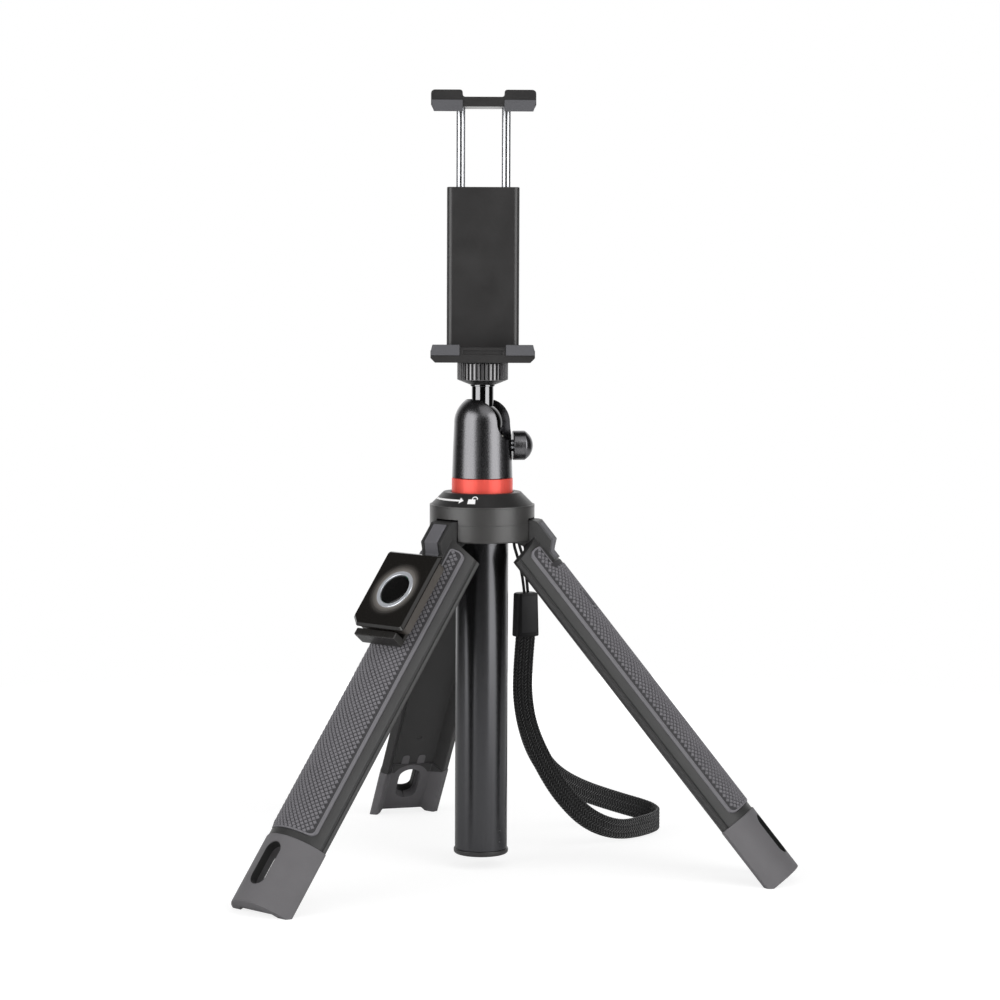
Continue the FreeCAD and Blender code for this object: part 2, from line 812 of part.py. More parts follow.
spineTop = jawTop + s.spineHeight
rodBottom = jawTop + s.rodRise
boreFloor = jawTop + s.boreRise
turnIn = s.spineRound
spineBlock = prism("spineBlock", "XY_Plane", [
    (-s.spineHalf + turnIn, -s.spineFront),
    (s.spineHalf - turnIn, -s.spineFront, turnIn),
    (s.spineHalf, turnIn - s.spineFront),
    (s.spineHalf, s.jawBack - turnIn, turnIn),
    (s.spineHalf - turnIn, s.jawBack),
    (-s.spineHalf + turnIn, s.jawBack, turnIn),
    (-s.spineHalf, s.jawBack - turnIn),
    (-s.spineHalf, turnIn - s.spineFront, turnIn)], jawTop, spineTop - jawTop)
spineHoles = []
rods = []
springs = []
capUnder = spineTop - s.boreCap
rodHeadTop = rodBottom + s.rodHead
rodTop = jawUnder + s.rodHold
for side in (-1, 1):
    x = side * s.rodSpread
    tag = "Left" if side < 0 else "Right"
    spineHoles.append(rod("bore" + tag, s.boreRadius, boreFloor, capUnder, x, s.rodBack))
    guideTop = spineTop + over
    spineHoles.append(rod("guide" + tag, s.rodRadius + s.runFit, capUnder - over, guideTop, x, s.rodBack))
    shaft = rod("shaft" + tag, s.rodRadius, rodBottom, rodTop, x, s.rodBack)
    head = rod("rodHead" + tag, s.rodHeadRadius, rodBottom, rodHeadTop, x, s.rodBack)
    rods.append(fuse("guideRod" + tag, shaft, head))
    coil = rod("coil" + tag, s.springInner + s.springWire, rodHeadTop, capUnder, x, s.rodBack)
    coilBore = rod("coilBore" + tag, s.springInner, rodHeadTop - over, capUnder + over, x, s.rodBack)
    springs.append(cut("spring" + tag, coil, coilBore))
node("clamp_spine", cut("clampSpine", spineBlock, *spineHoles))
node("guide_rods", group("guideRods", *rods))
node("clamp_springs", group("clampSprings", *springs))

upperTop = jawUnder + s.upperJawRise
barTop = jawUnder + s.upperBarRise
barUnder = jawUnder - s.upperBarDrop
lobe = s.upperRound
upperBlank = prism("upperBlank", "XZ_Plane", [
    (-s.jawHalf, jawUnder),
    (-s.upperPadInner, jawUnder),
    (-s.upperPadInner, barUnder),
    (s.upperPadInner, barUnder),
    (s.upperPadInner, jawUnder),
    (s.jawHalf, jawUnder),
    (s.jawHalf, upperTop - lobe, lobe),
    (s.jawHalf - lobe, upperTop),
    (s.upperPadInner + lobe, upperTop, lobe),
    (s.upperPadInner, barTop),
    (-s.upperPadInner, barTop, lobe),
    (-s.upperPadInner - lobe, upperTop),
    (-s.jawHalf + lobe, upperTop, lobe),
    (-s.jawHalf, upperTop - lobe)], -s.jawBack, jawDepth)
rodSockets = [rod(f"rodSocket{side + 1}", s.rodRadius + s.fixFit, barUnder - over, rodTop,
                  side * s.rodSpread, s.rodBack) for side in (-1, 1)]
node("upper_jaw", cut("upperJaw", upperBlank, *rodSockets))
node("upper_pads", pad_pair("upperPads", [
    (padFront, ceiling - s.padLip),
    (lipBack, ceiling - s.padLip),
    (lipBack, ceiling),
    (padBack, ceiling),
    (padBack, jawUnder),
    (-s.jawFront, jawUnder),
    (-s.jawFront, jawUnder + s.upperSkirt),
    (padFront, jawUnder + s.upperSkirt)], s.upperPadInner, s.jawHalf))

# Legs. Each is drawn folded against the column at the front, then splayed and turned

legTop = pivotUp - s.legTopDrop
legShoulder = pivotUp - s.shoulderDrop
legCorner = pivotUp - s.cornerDrop
legSeam = pivotUp - s.legLength
lugTop = pivotUp - s.lugTopDrop
lugBend = pivotUp - s.lugBendDrop
lugFoot = pivotUp - s.lugFootDrop
padTop = pivotUp - s.padTopDrop
padFork = pivotUp - s.padForkDrop


def sector_corner(across, inset):
    """A corner of the section on the line between neighbouring folded legs, less the inset."""
    return (across, -(across * 0.5 + inset) / cos30)


def leg_section(proud, inset):
    """The leg's section seen from above: a curved back, flared sides and a flat web."""
    outer = sector_corner(s.legChord / 2 + (s.legInset - inset) / 2, inset)
    inner = sector_corner(s.legInner / 2, inset)
    crown = s.legCrown + proud
    rise = crown + outer[1]
    back = (rise * rise + outer[0] * outer[0]) / (2 * rise)
    web = (s.webHalf - proud / 2, proud - s.webDepth)
    corners = [
        (-outer[0], outer[1], back),
        (outer[0], outer[1]),
        inner,
        web,
        (-web[0], web[1]),
        (-inner[0], inner[1])]
    return corners, back


shellSection, backRadius = leg_section(Size(0, "0"), s.legInset)
shellBar = prism("shellBar", "XY_Plane", shellSection, legSeam, legTop - legSeam)

overTop = legTop + over
shoulder = prism("shoulder", "XZ_Plane", [
    (s.lugWidth / 2, legShoulder),
    (s.legChord / 2, legCorner),
    (s.legChord, legCorner),
    (s.legChord, overTop),
    (s.lugWidth / 2, overTop)], 0, s.legCrown + over)
shoulderCuts = [shoulder, mirrored("shoulderLeft", shoulder)]

knuckle = s.knuckleRadius
lugBack = s.webDepth + s.padClear
lugPlate = prism("lugPlate", "YZ_Plane", [
    (-lugBack, lugBend - s.insertFit),
    (-s.legCrown + s.lugBite, lugFoot - s.lugToe),
    (-s.legCrown, lugFoot - s.lugToe),
    (-s.legCrown, lugFoot),
    (-s.lugOut, lugBend),
    (-s.lugOut, lugTop),
    (-s.lugOut + s.lugEase, lugTop + s.lugCrest),
    (-s.pivotOut - knuckle * cos30, pivotUp + knuckle / 2),
    (-s.pivotOut, pivotUp + knuckle * s.knuckleShare),
    (-s.pivotOut + knuckle * cos30, pivotUp - knuckle / 2),
    (-lugBack, legShoulder - s.insertEdge)], -s.lugWidth / 2, s.lugWidth)


def across_bar(name, radius, length):
    """A bar along X through the folded leg's pivot."""
    foot = Vector(-plain(length) / 2, -plain(s.pivotOut), plain(pivotUp))
    return feature(name, Part.makeCylinder(plain(radius), plain(length), foot, Vector(1, 0, 0)))


tongues = []
sockets = []
for side in (-1, 1):
    low, high = sorted((side * s.tongueInner, side * (s.tongueInner + s.tongueWidth)), key=plain)
    front, back = -s.tongueFront, s.tongueDepth - s.tongueFront
    foot = legSeam - s.tongueLength
    tongues.append(box(f"tongue{side + 1}", (low, front, foot), (high, back, legSeam + over)))
    gap = s.runFit
    sockets.append(box(f"tongueSocket{side + 1}", (low - gap, front - gap, foot - gap),
                       (high + gap, back + gap, legSeam + over)))

shellBlank = fuse("shellBlank", cut("shellShouldered", shellBar, *shoulderCuts),
                  lugPlate, across_bar("knuckleBar", s.knuckleRadius, s.lugWidth), *tongues)

# Grip pad: a skin let into the leg's back, forked round the lug, with a docking recess


def back_slice(name, inside, outside, half, bottom, top):
    """Part of a tube wall that follows the leg's back."""
    inner = backRadius + inside
    outer = backRadius + outside
    middle = backRadius - s.legCrown
    up = (outer * outer - half * half).root() - middle
    down = (inner * inner - half * half).root() - middle
    return prism(name, "XY_Plane", [
        (-half, -up, outer), (half, -up), (half, -down, -inner), (-half, -down)], bottom, top - bottom)


padHalf = s.legChord / 2 - s.padMargin
padBottom = legSeam + s.padGap
padSlice = back_slice("padSlice", -s.padSunk, s.padProud, padHalf, padBottom, padTop)
turnPad = s.padRound
padFace = prism("padFace", "XZ_Plane", [
    (-padHalf, padBottom + turnPad, turnPad),
    (-padHalf + turnPad, padBottom),
    (padHalf - turnPad, padBottom, turnPad),
    (padHalf, padBottom + turnPad),
    (padHalf, padTop - turnPad, turnPad),
    (padHalf - turnPad, padTop, turnPad),
    (s.forkHalf, padTop - turnPad),
    (s.forkHalf, padFork),
    (-s.forkHalf, padFork),
    (-s.forkHalf, padTop - turnPad, turnPad),
    (-padHalf + turnPad, padTop, turnPad),
    (-padHalf, padTop - turnPad)], 0, s.legCrown + s.padProud + over)

dockUp = pivotUp - s.dockDrop
dockHalf = s.dockLength / 2 - s.dockWidth / 2
dockTool = prism("dockTool", "XZ_Plane", [
    (-s.dockWidth / 2, dockUp - dockHalf, s.dockWidth / 2 + hair),
    (s.dockWidth / 2, dockUp - dockHalf),
    (s.dockWidth / 2, dockUp + dockHalf, s.dockWidth / 2 + hair),
    (-s.dockWidth / 2, dockUp + dockHalf)], s.dockDepth, s.legCrown)
padShape = cut("gripPad", common("padBlank", padSlice, padFace), dockTool)

# Rubber insert on the lug's outer face

insertSide = -s.lugOut + s.insertDepth
insertOut = s.legCrown + s.insertProud
insertIn = s.legCrown - s.insertDepth
insertShape = prism("lugInsert", "YZ_Plane", [
    (insertSide, lugTop - s.insertEdge),
    (-s.lugOut - s.insertProud, lugTop - 2 * s.insertEdge),
    (-s.lugOut - s.insertProud, lugBend),
    (-insertOut, lugFoot - s.insertProud),
    (-insertOut, lugFoot - s.insertToe),
    (-insertIn, lugFoot - s.insertToe),
    (-insertIn, lugFoot + s.insertFit),
    (insertSide, lugBend + s.insertFit)], -s.insertWidth / 2, s.insertWidth)

shellShape = cut("legShell", shellBlank, padShape, insertShape, dockTool,
                 across_bar("pivotHole", s.pinRadius + s.runFit, s.lugWidth + 2 * over))

# Boot: a soft foot over the leg's end, slotted through and cut flat where it stands

bootSection, bootRadius = leg_section(s.bootProud, s.legInset - s.bootSide)
bootFoot = legSeam - s.bootLength
bootBar = prism("bootBar", "XY_Plane", bootSection, bootFoot, s.bootLength)
slotHigh = legSeam - s.slotTop
slotLow = slotHigh - s.slotLength


def upright_slot(name, half, low, high, start, length):
    return prism(name, "XZ_Plane", [
        (-half, low + half, half + hair),
        (half, low + half),
        (half, high - half, half + hair),
        (-half, high - half)], start, length)


slotTool = upright_slot("bootSlot", s.slotWidth / 2, slotLow, slotHigh, s.slotBack, s.legCrown)
windowTool = upright_slot("bootWindow", s.windowWidth / 2, slotLow, slotHigh, 0, s.windowDepth)

legPivot = Vector(0, -plain(s.pivotOut), plain(pivotUp))
splayTurn = Placement(Vector(), Rotation(Vector(1, 0, 0), -plain(s.splay)), legPivot)
reach = plain(s.legLength) * 2
depth = plain(s.bootLength) * 2
groundBlock = Part.makeBox(2 * reach, 2 * reach, depth, Vector(-reach, -reach, -depth))
ground = feature("ground", groundBlock, splayTurn.inverse())
bootShape = cut("boot", bootBar, slotTool, windowTool, ground, *sockets)

# Remote, docked on leg a with a cradle in the docking recess

remoteUp = pivotUp - s.remoteDrop


def plate(name, width, length, back, front, rounding=None):
    """A flat piece lying along the leg, centred on the remote."""
    if rounding is None:
        low = (-width / 2, -front, remoteUp - length / 2)
        return box(name, low, (width / 2, -back, remoteUp + length / 2))
    across, up = width / 2, length / 2
    return prism(name, "XZ_Plane", [
        (-across + rounding, remoteUp - up),
        (across - rounding, remoteUp - up, rounding),
        (across, remoteUp - up + rounding),
        (across, remoteUp + up - rounding, rounding),
        (across - rounding, remoteUp + up),
        (-across + rounding, remoteUp + up, rounding),
        (-across, remoteUp + up - rounding),
        (-across, remoteUp - up + rounding, rounding)], back, front - back)


def disc(name, radius, back, front, drop=0):
    """A round piece whose axis stands out from the leg."""
    foot = Vector(0, -plain(back), plain(remoteUp - drop))
    return feature(name, Part.makeCylinder(plain(radius), plain(front - back), foot, Vector(0, -1, 0)))


faceBack = s.faceOut - s.faceThick
faceTop = remoteUp + s.faceLength / 2
faceFoot = remoteUp - s.faceLength / 2
faceSide = s.faceWidth / 2
faceBlank = prism("faceBlank", "XZ_Plane", [
    (-faceSide, faceFoot + s.faceNotch),
    (-faceSide + s.faceNotch, faceFoot),
    (faceSide, faceFoot),
    (faceSide, faceTop),
    (-faceSide, faceTop)], faceBack, s.faceThick)
caseTray = cut("caseTray", plate("caseBlock", s.caseWidth, s.caseLength, s.caseBack, faceBack, s.caseRound),
               plate("caseHollow", s.caseWidth - 2 * s.caseWall, s.caseLength - 2 * s.caseWall,
                     s.caseBack + s.caseWall, faceBack + over))
boardFront = faceBack - s.boardGap
boardBack = boardFront - s.boardThick
cellBack = s.caseBack + s.caseWall
boardTrim = 2 * s.caseWall + 2 * s.boardMargin
board = plate("board", s.caseWidth - boardTrim, s.caseLength - boardTrim, boardBack, boardFront)
bezelFront = s.faceOut + s.bezelProud
bezelBack = faceBack
bezelHole = disc("bezelHole", s.bezelOuter / 2 + s.fixFit, faceBack - over, s.faceOut + over)
buttonFront = s.faceOut + s.buttonProud

cradleHalf = s.cradleWidth / 2
plateBack = s.caseBack - s.runFit
cradlePlate = plate("cradlePlate", s.cradleWidth, s.faceLength - s.cradleTrim, s.cradleBack, plateBack)
cradleLip = box("cradleLip",
                (-cradleHalf, -s.cradleLipOut, faceFoot - s.cradleLip - s.cradleGap),
                (cradleHalf, -s.cradleBack, faceFoot - s.cradleGap))
cradleNeck = box("cradleNeck",
                 (-cradleHalf, -s.caseBack + s.runFit, faceFoot - 2 * s.cradleGap),
                 (cradleHalf, -s.cradleBack, faceFoot + s.cradleTrim))
peg = s.dockWidth / 2 - s.runFit
cradlePeg = prism("cradlePeg", "XZ_Plane", [
    (-peg, dockUp - dockHalf, peg + hair),
    (peg, dockUp - dockHalf),
    (peg, dockUp + dockHalf, peg + hair),
    (-peg, dockUp + dockHalf)], s.dockDepth + s.runFit, s.cradleBack + s.pegSink - s.dockDepth)

legPieces = {"leg_shell": shellShape, "grip_pad": padShape, "lug_insert": insertShape, "boot": bootShape}
remotePieces = {
    "remote_cradle": fuse("cradle", cradlePlate, cradleLip, cradleNeck, cradlePeg),
    "remote_case": caseTray,
    "remote_board": board,
    "remote_battery": disc("battery", s.cellRadius, cellBack, cellBack + s.cellThick, s.cellDrop),
    "remote_face": cut("face", faceBlank, bezelHole),
    "remote_bezel": cut("bezel", disc("bezelDisc", s.bezelOuter / 2, bezelBack, bezelFront),
                        disc("bezelBore", s.bezelInner / 2, bezelBack - over, bezelFront + over)),
    "remote_button": disc("button", s.buttonOuter / 2, buttonFront - s.buttonThick, buttonFront)}

for leg, turn in legTurns.items():
    legPlace = spun(turn + 90).multiply(splayTurn)
    for piece, shape in legPieces.items():
        node(f"{piece}_{leg}", placed(f"{piece}Placed_{leg}", shape, legPlace))
    if leg == "a":
        for piece, shape in remotePieces.items():
            node(piece, placed(piece + "Placed", shape, legPlace))

# Wrist strap. The route's points are the strap's own: cord loop, tab, and a flat woven loop

cordRoute = [
    (15.6, 18.4, 90.5), (15.1, 17.3, 97), (13.7, 14.7, 103.5), (12.5, 12.3, 107.4), (12.3, 12.1, 109.5),
    (10.9, 10.7, 109.5), (10.7, 10.5, 107.4), (11.9, 12.3, 103.5), (13.7, 15.6, 97), (14.4, 17.4, 90.5)]
strapRoute = [
    (14.9, 17.0, 75.5), (13.9, 17.5, 63.5), (14.0, 18.5, 53), (16.5, 20.5, 41.5), (22.5, 24, 28.5),
    (28.8, 27.3, 18.5), (37.3, 31.8, 9.5), (47.5, 38.5, 4.6), (57.3, 48.5, 4.3), (64.0, 60.0, 4.6),
    (61.0, 68.5, 5.6), (47, 63, 10.5), (34.5, 52.5, 16.5), (25.5, 41, 23.5), (20.0, 32, 31.5),
    (16.2, 25.8, 41.5), (14.2, 22.2, 52), (13.9, 20.2, 63), (14.9, 19.2, 75.5)]
strapLay = [
    (0.86, 0.5, 0), (0.86, 0.5, 0), (0.86, 0.5, 0), (0.8, 0.5, 0.25), (0.7, 0.4, 0.5),
    (0.6, 0.3, 0.7), (0.4, 0.0, 0.9), (0.1, -0.3, 0.95), (0, -0.1, 1), (0, 0, 1),
    (0, 0, 1), (0, 0, 1), (0.1, -0.1, 1), (0.3, 0, 0.9), (0.5, 0.2, 0.7),
    (0.7, 0.4, 0.3), (0.86, 0.5, 0), (0.86, 0.5, 0), (0.86, 0.5, 0)]


cornerShare = 0.45  # of the shorter run next to a corner, taken by its arc


def rounded_route(points):
    """Runs and tangent arcs along the points: each item is an edge, and the radii are given back."""
    places = [Vector(*p) for p in points]
    edges = []
    radii = []
    start = places[0]
    for before, here, after in zip(places, places[1:], places[2:]):
        incoming = here - before
        outgoing = after - here
        shorter = min(incoming.Length, outgoing.Length)
        half = incoming.getAngle(outgoing) / 2
        reach = cornerShare * shorter
        radii.append(reach / math.tan(half))
        first = here - Vector(incoming).normalize() * reach
        last = here + Vector(outgoing).normalize() * reach
        inward = (Vector(outgoing).normalize() - Vector(incoming).normalize()).normalize()
        middle = here + inward * (radii[-1] / math.cos(half) - radii[-1])
        edges.append(Part.LineSegment(start, first).toShape())
        edges.append(Part.Arc(first, middle, last).toShape())
        start = last
    edges.append(Part.LineSegment(start, places[-1]).toShape())
    return edges, radii


cordEdges, cordRadii = rounded_route(cordRoute)
cordWire = Part.Wire(cordEdges)
cordStart = Vector(*cordRoute[0])
cordAim = Vector(*cordRoute[1]) - cordStart
cordRing = Part.Wire(Part.makeCircle(s.cordRadius.amount, cordStart, cordAim))
cordTube = cordWire.makePipeShell([cordRing], True, False)
node("strap_cord", feature("strapCord", cordTube))


def ribbon(name, points, lays, width, thick):
    """A flat strap along a route, as a ruled skin through its section at each run's end and arc's middle."""
    edges, radii = rounded_route(points)
    knots = [0]
    for i in range(1, len(points) - 1):
        knots += [i - cornerShare, i, i + cornerShare]
    knots.append(len(points) - 1)
    stations = [(edges[0].valueAt(edges[0].FirstParameter), edges[0].tangentAt(edges[0].FirstParameter))]
    for arc in edges[1::2]:
        first, last = arc.FirstParameter, arc.LastParameter
        for at in (first, (first + last) / 2, last):
            stations.append((arc.valueAt(at), arc.tangentAt(at)))
    lastEdge = edges[-1]
    stations.append((lastEdge.valueAt(lastEdge.LastParameter), lastEdge.tangentAt(lastEdge.LastParameter)))
    sections = []
    for knot, (place, along) in zip(knots, stations):
        low = min(int(knot), len(lays) - 2)
        part = knot - low
        lay = Vector(*lays[low]) * (1 - part) + Vector(*lays[low + 1]) * part
        across = (lay - along * lay.dot(along)).normalize()
        flat = along.cross(across).normalize()
        ends = [(1, 1), (-1, 1), (-1, -1), (1, -1)]
        loop = [place + across * (a * width / 2) + flat * (b * thick / 2) for a, b in ends]
        sections.append(Part.makePolygon(loop + [loop[0]]))
    skin = Part.makeLoft(sections, True, True)
    length = sum(edge.Length for edge in edges)
    return feature(name, skin), radii, length


strapShape, strapRadii, strapLength = ribbon(
    "wristStrap", strapRoute, strapLay, s.strapWidth.amount, s.strapThick.amount)
node("wrist_strap", strapShape)

tabTop, tabFoot = cordRoute[0][2], strapRoute[0][2]
tabMiddle = (Vector(*strapRoute[0]) + Vector(*strapRoute[-1])) * 0.5
tabAcross, tabDeep = s.tabWidth / 2, s.tabThick / 2
turnTab = s.tabRound
tabShape = prism("tabBlock", "XY_Plane", [
    (-tabAcross + turnTab, -tabDeep),
    (tabAcross - turnTab, -tabDeep, turnTab),
    (tabAcross, turnTab - tabDeep),
    (tabAcross, tabDeep - turnTab, turnTab),
    (tabAcross - turnTab, tabDeep),
    (-tabAcross + turnTab, tabDeep, turnTab),
    (-tabAcross, tabDeep - turnTab),
    (-tabAcross, turnTab - tabDeep, turnTab)], 0, tabTop - tabFoot)
node("strap_tab", placed("strapTab", tabShape, Placement(tabMiddle, spun(plain(s.tabTurn)).Rotation)))

# Rebuild, test every object and write each sub-part

doc.recompute()
problems = [item.Name for item in doc.Objects if "Invalid" in item.State or "Error" in item.State]
for label, item in nodes.items():
    shape = item.Shape
    if shape.isNull() or not shape.isValid() or not shape.Solids:
        problems.append(label)
if problems:
    raise RuntimeError("not built: " + ", ".join(problems))

print("cord radii", [round(r, 2) for r in cordRadii])
print("strap radii", [round(r, 1) for r in strapRadii])
cordLength = sum(edge.Length for edge in cordEdges)
cordVolume = math.pi * s.cordRadius.amount ** 2 * cordLength
strapVolume = s.strapWidth.amount * s.strapThick.amount * strapLength
print("cord", round(cordLength, 1), "volume ratio", round(cordTube.Volume / cordVolume, 3))
strapShare = nodes["wrist_strap"].Shape.Volume / strapVolume
print("strap", round(strapLength, 1), "volume ratio", round(strapShare, 3))

os.makedirs("parts", exist_ok=True)
for label, item in nodes.items():
    item.Shape.exportStep(f"parts/{label}.step")
print(len(nodes), "sub-parts")
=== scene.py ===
import bpy
import bmesh
import json
import math
from mathutils import Matrix, Vector


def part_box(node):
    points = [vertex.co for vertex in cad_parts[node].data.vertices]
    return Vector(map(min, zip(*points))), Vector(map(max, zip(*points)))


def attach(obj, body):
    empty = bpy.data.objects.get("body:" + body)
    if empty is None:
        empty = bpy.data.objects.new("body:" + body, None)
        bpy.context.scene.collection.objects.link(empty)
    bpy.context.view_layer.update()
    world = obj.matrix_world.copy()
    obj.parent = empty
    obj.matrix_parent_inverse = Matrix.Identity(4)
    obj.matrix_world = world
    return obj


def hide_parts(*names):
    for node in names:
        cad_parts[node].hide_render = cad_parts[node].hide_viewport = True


# A telescoping tripod for a handset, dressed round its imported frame.
# Sizes below are millimetres and degrees; every mesh is scaled to metres as it is finished.

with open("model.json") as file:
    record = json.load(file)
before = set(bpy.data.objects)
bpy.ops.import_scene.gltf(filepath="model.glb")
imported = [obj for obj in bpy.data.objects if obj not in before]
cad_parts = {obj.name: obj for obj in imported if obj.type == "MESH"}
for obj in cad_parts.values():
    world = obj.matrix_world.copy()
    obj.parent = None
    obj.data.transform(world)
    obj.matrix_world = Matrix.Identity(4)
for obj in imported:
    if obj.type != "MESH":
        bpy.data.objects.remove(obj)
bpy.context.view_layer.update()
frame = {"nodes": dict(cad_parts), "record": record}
scene = bpy.context.scene
scene.view_settings.view_transform = "Standard"
mm = 0.001
print("frame loaded,", len(frame["nodes"]), "nodes")


# Camera and stage

view = {"place": (0.38, -978.8, 205.1), "yaw": 0.325, "pitch": 4.77, "roll": 0.244, "lens": 106.27, "sensor": 36}
camera = bpy.data.objects.new("Camera", bpy.data.cameras.new("Camera"))
camera.data.lens = view["lens"]
camera.data.sensor_width = view["sensor"]
camera.data.clip_start = 0.01
camera.data.clip_end = 50
heading = Matrix.Rotation(math.radians(-view["yaw"]), 4, "Z") @ Matrix.Rotation(math.radians(90 - view["pitch"]), 4, "X")
aim = heading @ Matrix.Rotation(math.radians(view["roll"]), 4, "Z")
camera.matrix_world = Matrix.Translation(Vector(view["place"]) * mm) @ aim
scene.collection.objects.link(camera)
scene.camera = camera


class Value:
    # a node's output, so that shader maths reads as a Python expression
    def __init__(self, shader, socket):
        self.shader = shader
        self.socket = socket

    def calc(self, operation, *others):
        return self.shader.node("Math", {"operation": operation}, dict(enumerate((self, *others))))

    def __add__(self, other):
        return self.calc("ADD", other)

    def __sub__(self, other):
        return self.calc("SUBTRACT", other)

    def __rsub__(self, other):
        return self.shader.node("Math", {"operation": "SUBTRACT"}, {0: other, 1: self})

    def __mul__(self, other):
        return self.calc("MULTIPLY", other)

    def __truediv__(self, other):
        return self.calc("DIVIDE", other)

    __radd__ = __add__
    __rmul__ = __mul__


class Shader:
    # one material, or the world, whose nodes are made by node()
    def __init__(self, name, tree=None):
        if tree is None:
            self.material = bpy.data.materials.new(name)
            self.material.use_nodes = True
            tree = self.material.node_tree
        self.tree = tree
        self.surface = tree.nodes.get("Principled BSDF")

    def node(self, kind, settings=None, values=None, output=0):
        made = self.tree.nodes.new("ShaderNode" + kind)
        for key, setting in (settings or {}).items():
            if key == "stops":
                ramp = made.color_ramp
                while len(ramp.elements) < len(setting):
                    ramp.elements.new(1)
                for element, (place, tone) in zip(ramp.elements, setting):
                    element.position = place
                    element.color = (tone, tone, tone, 1)
            else:
                setattr(made, key, setting)
        for key, value in (values or {}).items():
            self.put(made.inputs[key], value)
        return Value(self, made.outputs[output])

    def put(self, socket, value):
        if isinstance(value, Value):
            self.tree.links.new(value.socket, socket)
        else:
            socket.default_value = value

    def set(self, **sockets):
        for name, value in sockets.items():
            if name == "Base_Color" and not isinstance(value, Value):
                value = (*value, 1)
            self.put(self.surface.inputs[name.replace("_", " ")], value)
        return self

    def place(self):
        return self.node("TexCoord", output="Object")

    def noise(self, scale, detail=2, place=None, stretch=None):
        place = place or self.place()
        if stretch:
            place = self.node("Mapping", {}, {"Vector": place, "Scale": stretch})
        return self.node("TexNoise", {}, {"Vector": place, "Scale": scale, "Detail": detail}, "Fac")

    def tint(self, mask, low, high):
        return self.node("Mix", {"data_type": "RGBA"}, {"Factor": mask, 6: (*low, 1), 7: (*high, 1)}, 2)

    def band(self, value, low, high, bottom=0, top=1):
        return self.node("MapRange", {"clamp": True}, {
            "Value": value, "From Min": low, "From Max": high, "To Min": bottom, "To Max": top})

    def bump(self, height, distance, strength=1):
        return self.node("Bump", {}, {"Height": height, "Distance": distance * mm, "Strength": strength})


# Finishes

def moulded(name, colour, rough, grain=0.03, spread=0.15, pitch=5200, shine=0.5):
    # moulded plastic: a fine spark-eroded grain and slight clouding
    shader = Shader(name)
    cloud = shader.noise(90, 3)
    dark = [c * (1 - spread) for c in colour]
    light = [c * (1 + spread) for c in colour]
    speck = shader.noise(pitch, 2)
    shader.set(Base_Color=shader.tint(cloud, dark, light), Specular_IOR_Level=shine)
    shader.set(Roughness=shader.band(cloud, 0.3, 0.7, rough - 0.04, rough + 0.05))
    shader.set(Normal=shader.bump(speck, grain))
    return shader.material


def anodised(name, colour, rough, metal=0.5, streak=0.02):
    # bead-blasted and anodised: a fine speckle with faint lengthwise draw marks
    shader = Shader(name)
    speck = shader.noise(3800, 2)
    draw = shader.noise(900, 2, stretch=(1, 1, 0.02))
    dark = [c * 0.85 for c in colour]
    light = [c * 1.15 for c in colour]
    shader.set(Base_Color=shader.tint(draw, dark, light), Metallic=metal)
    shader.set(Roughness=shader.band(speck * 0.7 + draw * 0.3, 0.3, 0.7, rough - 0.03, rough + 0.04))
    shader.set(Normal=shader.bump(speck, streak, 0.6))
    return shader.material


def ridgedPaintedLight(name, colour, rough, low, high):
    # anodised ridges with painted light: the ridge tops are coloured bright as a painted highlight, and the grooves
    # near black as painted shade
    shader = Shader(name)
    flat = shader.node("VectorMath", {"operation": "MULTIPLY"}, {0: shader.place(), 1: (1, 1, 0)})
    out = shader.node("VectorMath", {"operation": "LENGTH"}, {0: flat}, "Value")
    top = shader.band(out, low * mm, high * mm)
    speck = shader.noise(3800, 2)
    shader.set(Base_Color=shader.tint(top, [c * 0.08 for c in colour], colour), Metallic=1.0)
    shader.set(Roughness=shader.band(speck, 0.3, 0.7, rough - 0.03, rough + 0.05))
    return shader.material


def polished(name, colour, rough, metal=1.0):
    shader = Shader(name)
    smear = shader.noise(260, 2)
    shader.set(Base_Color=(*colour,), Metallic=metal)
    shader.set(Roughness=shader.band(smear, 0.3, 0.7, rough, rough + 0.06))
    return shader.material


def rubbery(name, colour, rough=0.62, grain=0.05, spread=0.1):
    # soft-touch rubber: dusty, with faint mottling
    shader = Shader(name)
    cloud = shader.noise(140, 4)
    dust = shader.noise(2600, 3)
    dark = [c * (1 - spread) for c in colour]
    light = [c * (1 + spread) for c in colour]
    shader.set(Base_Color=shader.tint(cloud, dark, light), Specular_IOR_Level=0.35)
    shader.set(Roughness=shader.band(dust, 0.3, 0.7, rough - 0.06, rough + 0.08))
    shader.set(Normal=shader.bump(dust, grain, 0.7))
    return shader.material


def glossy(name, colour, rough=0.08, haze=0.05):
    # polished plastic with faint handling haze
    shader = Shader(name)
    smear = shader.noise(120, 3)
    shader.set(Base_Color=(*colour,), Specular_IOR_Level=0.55)
    shader.set(Roughness=shader.band(smear, 0.35, 0.7, rough, rough + haze))
    return shader.material


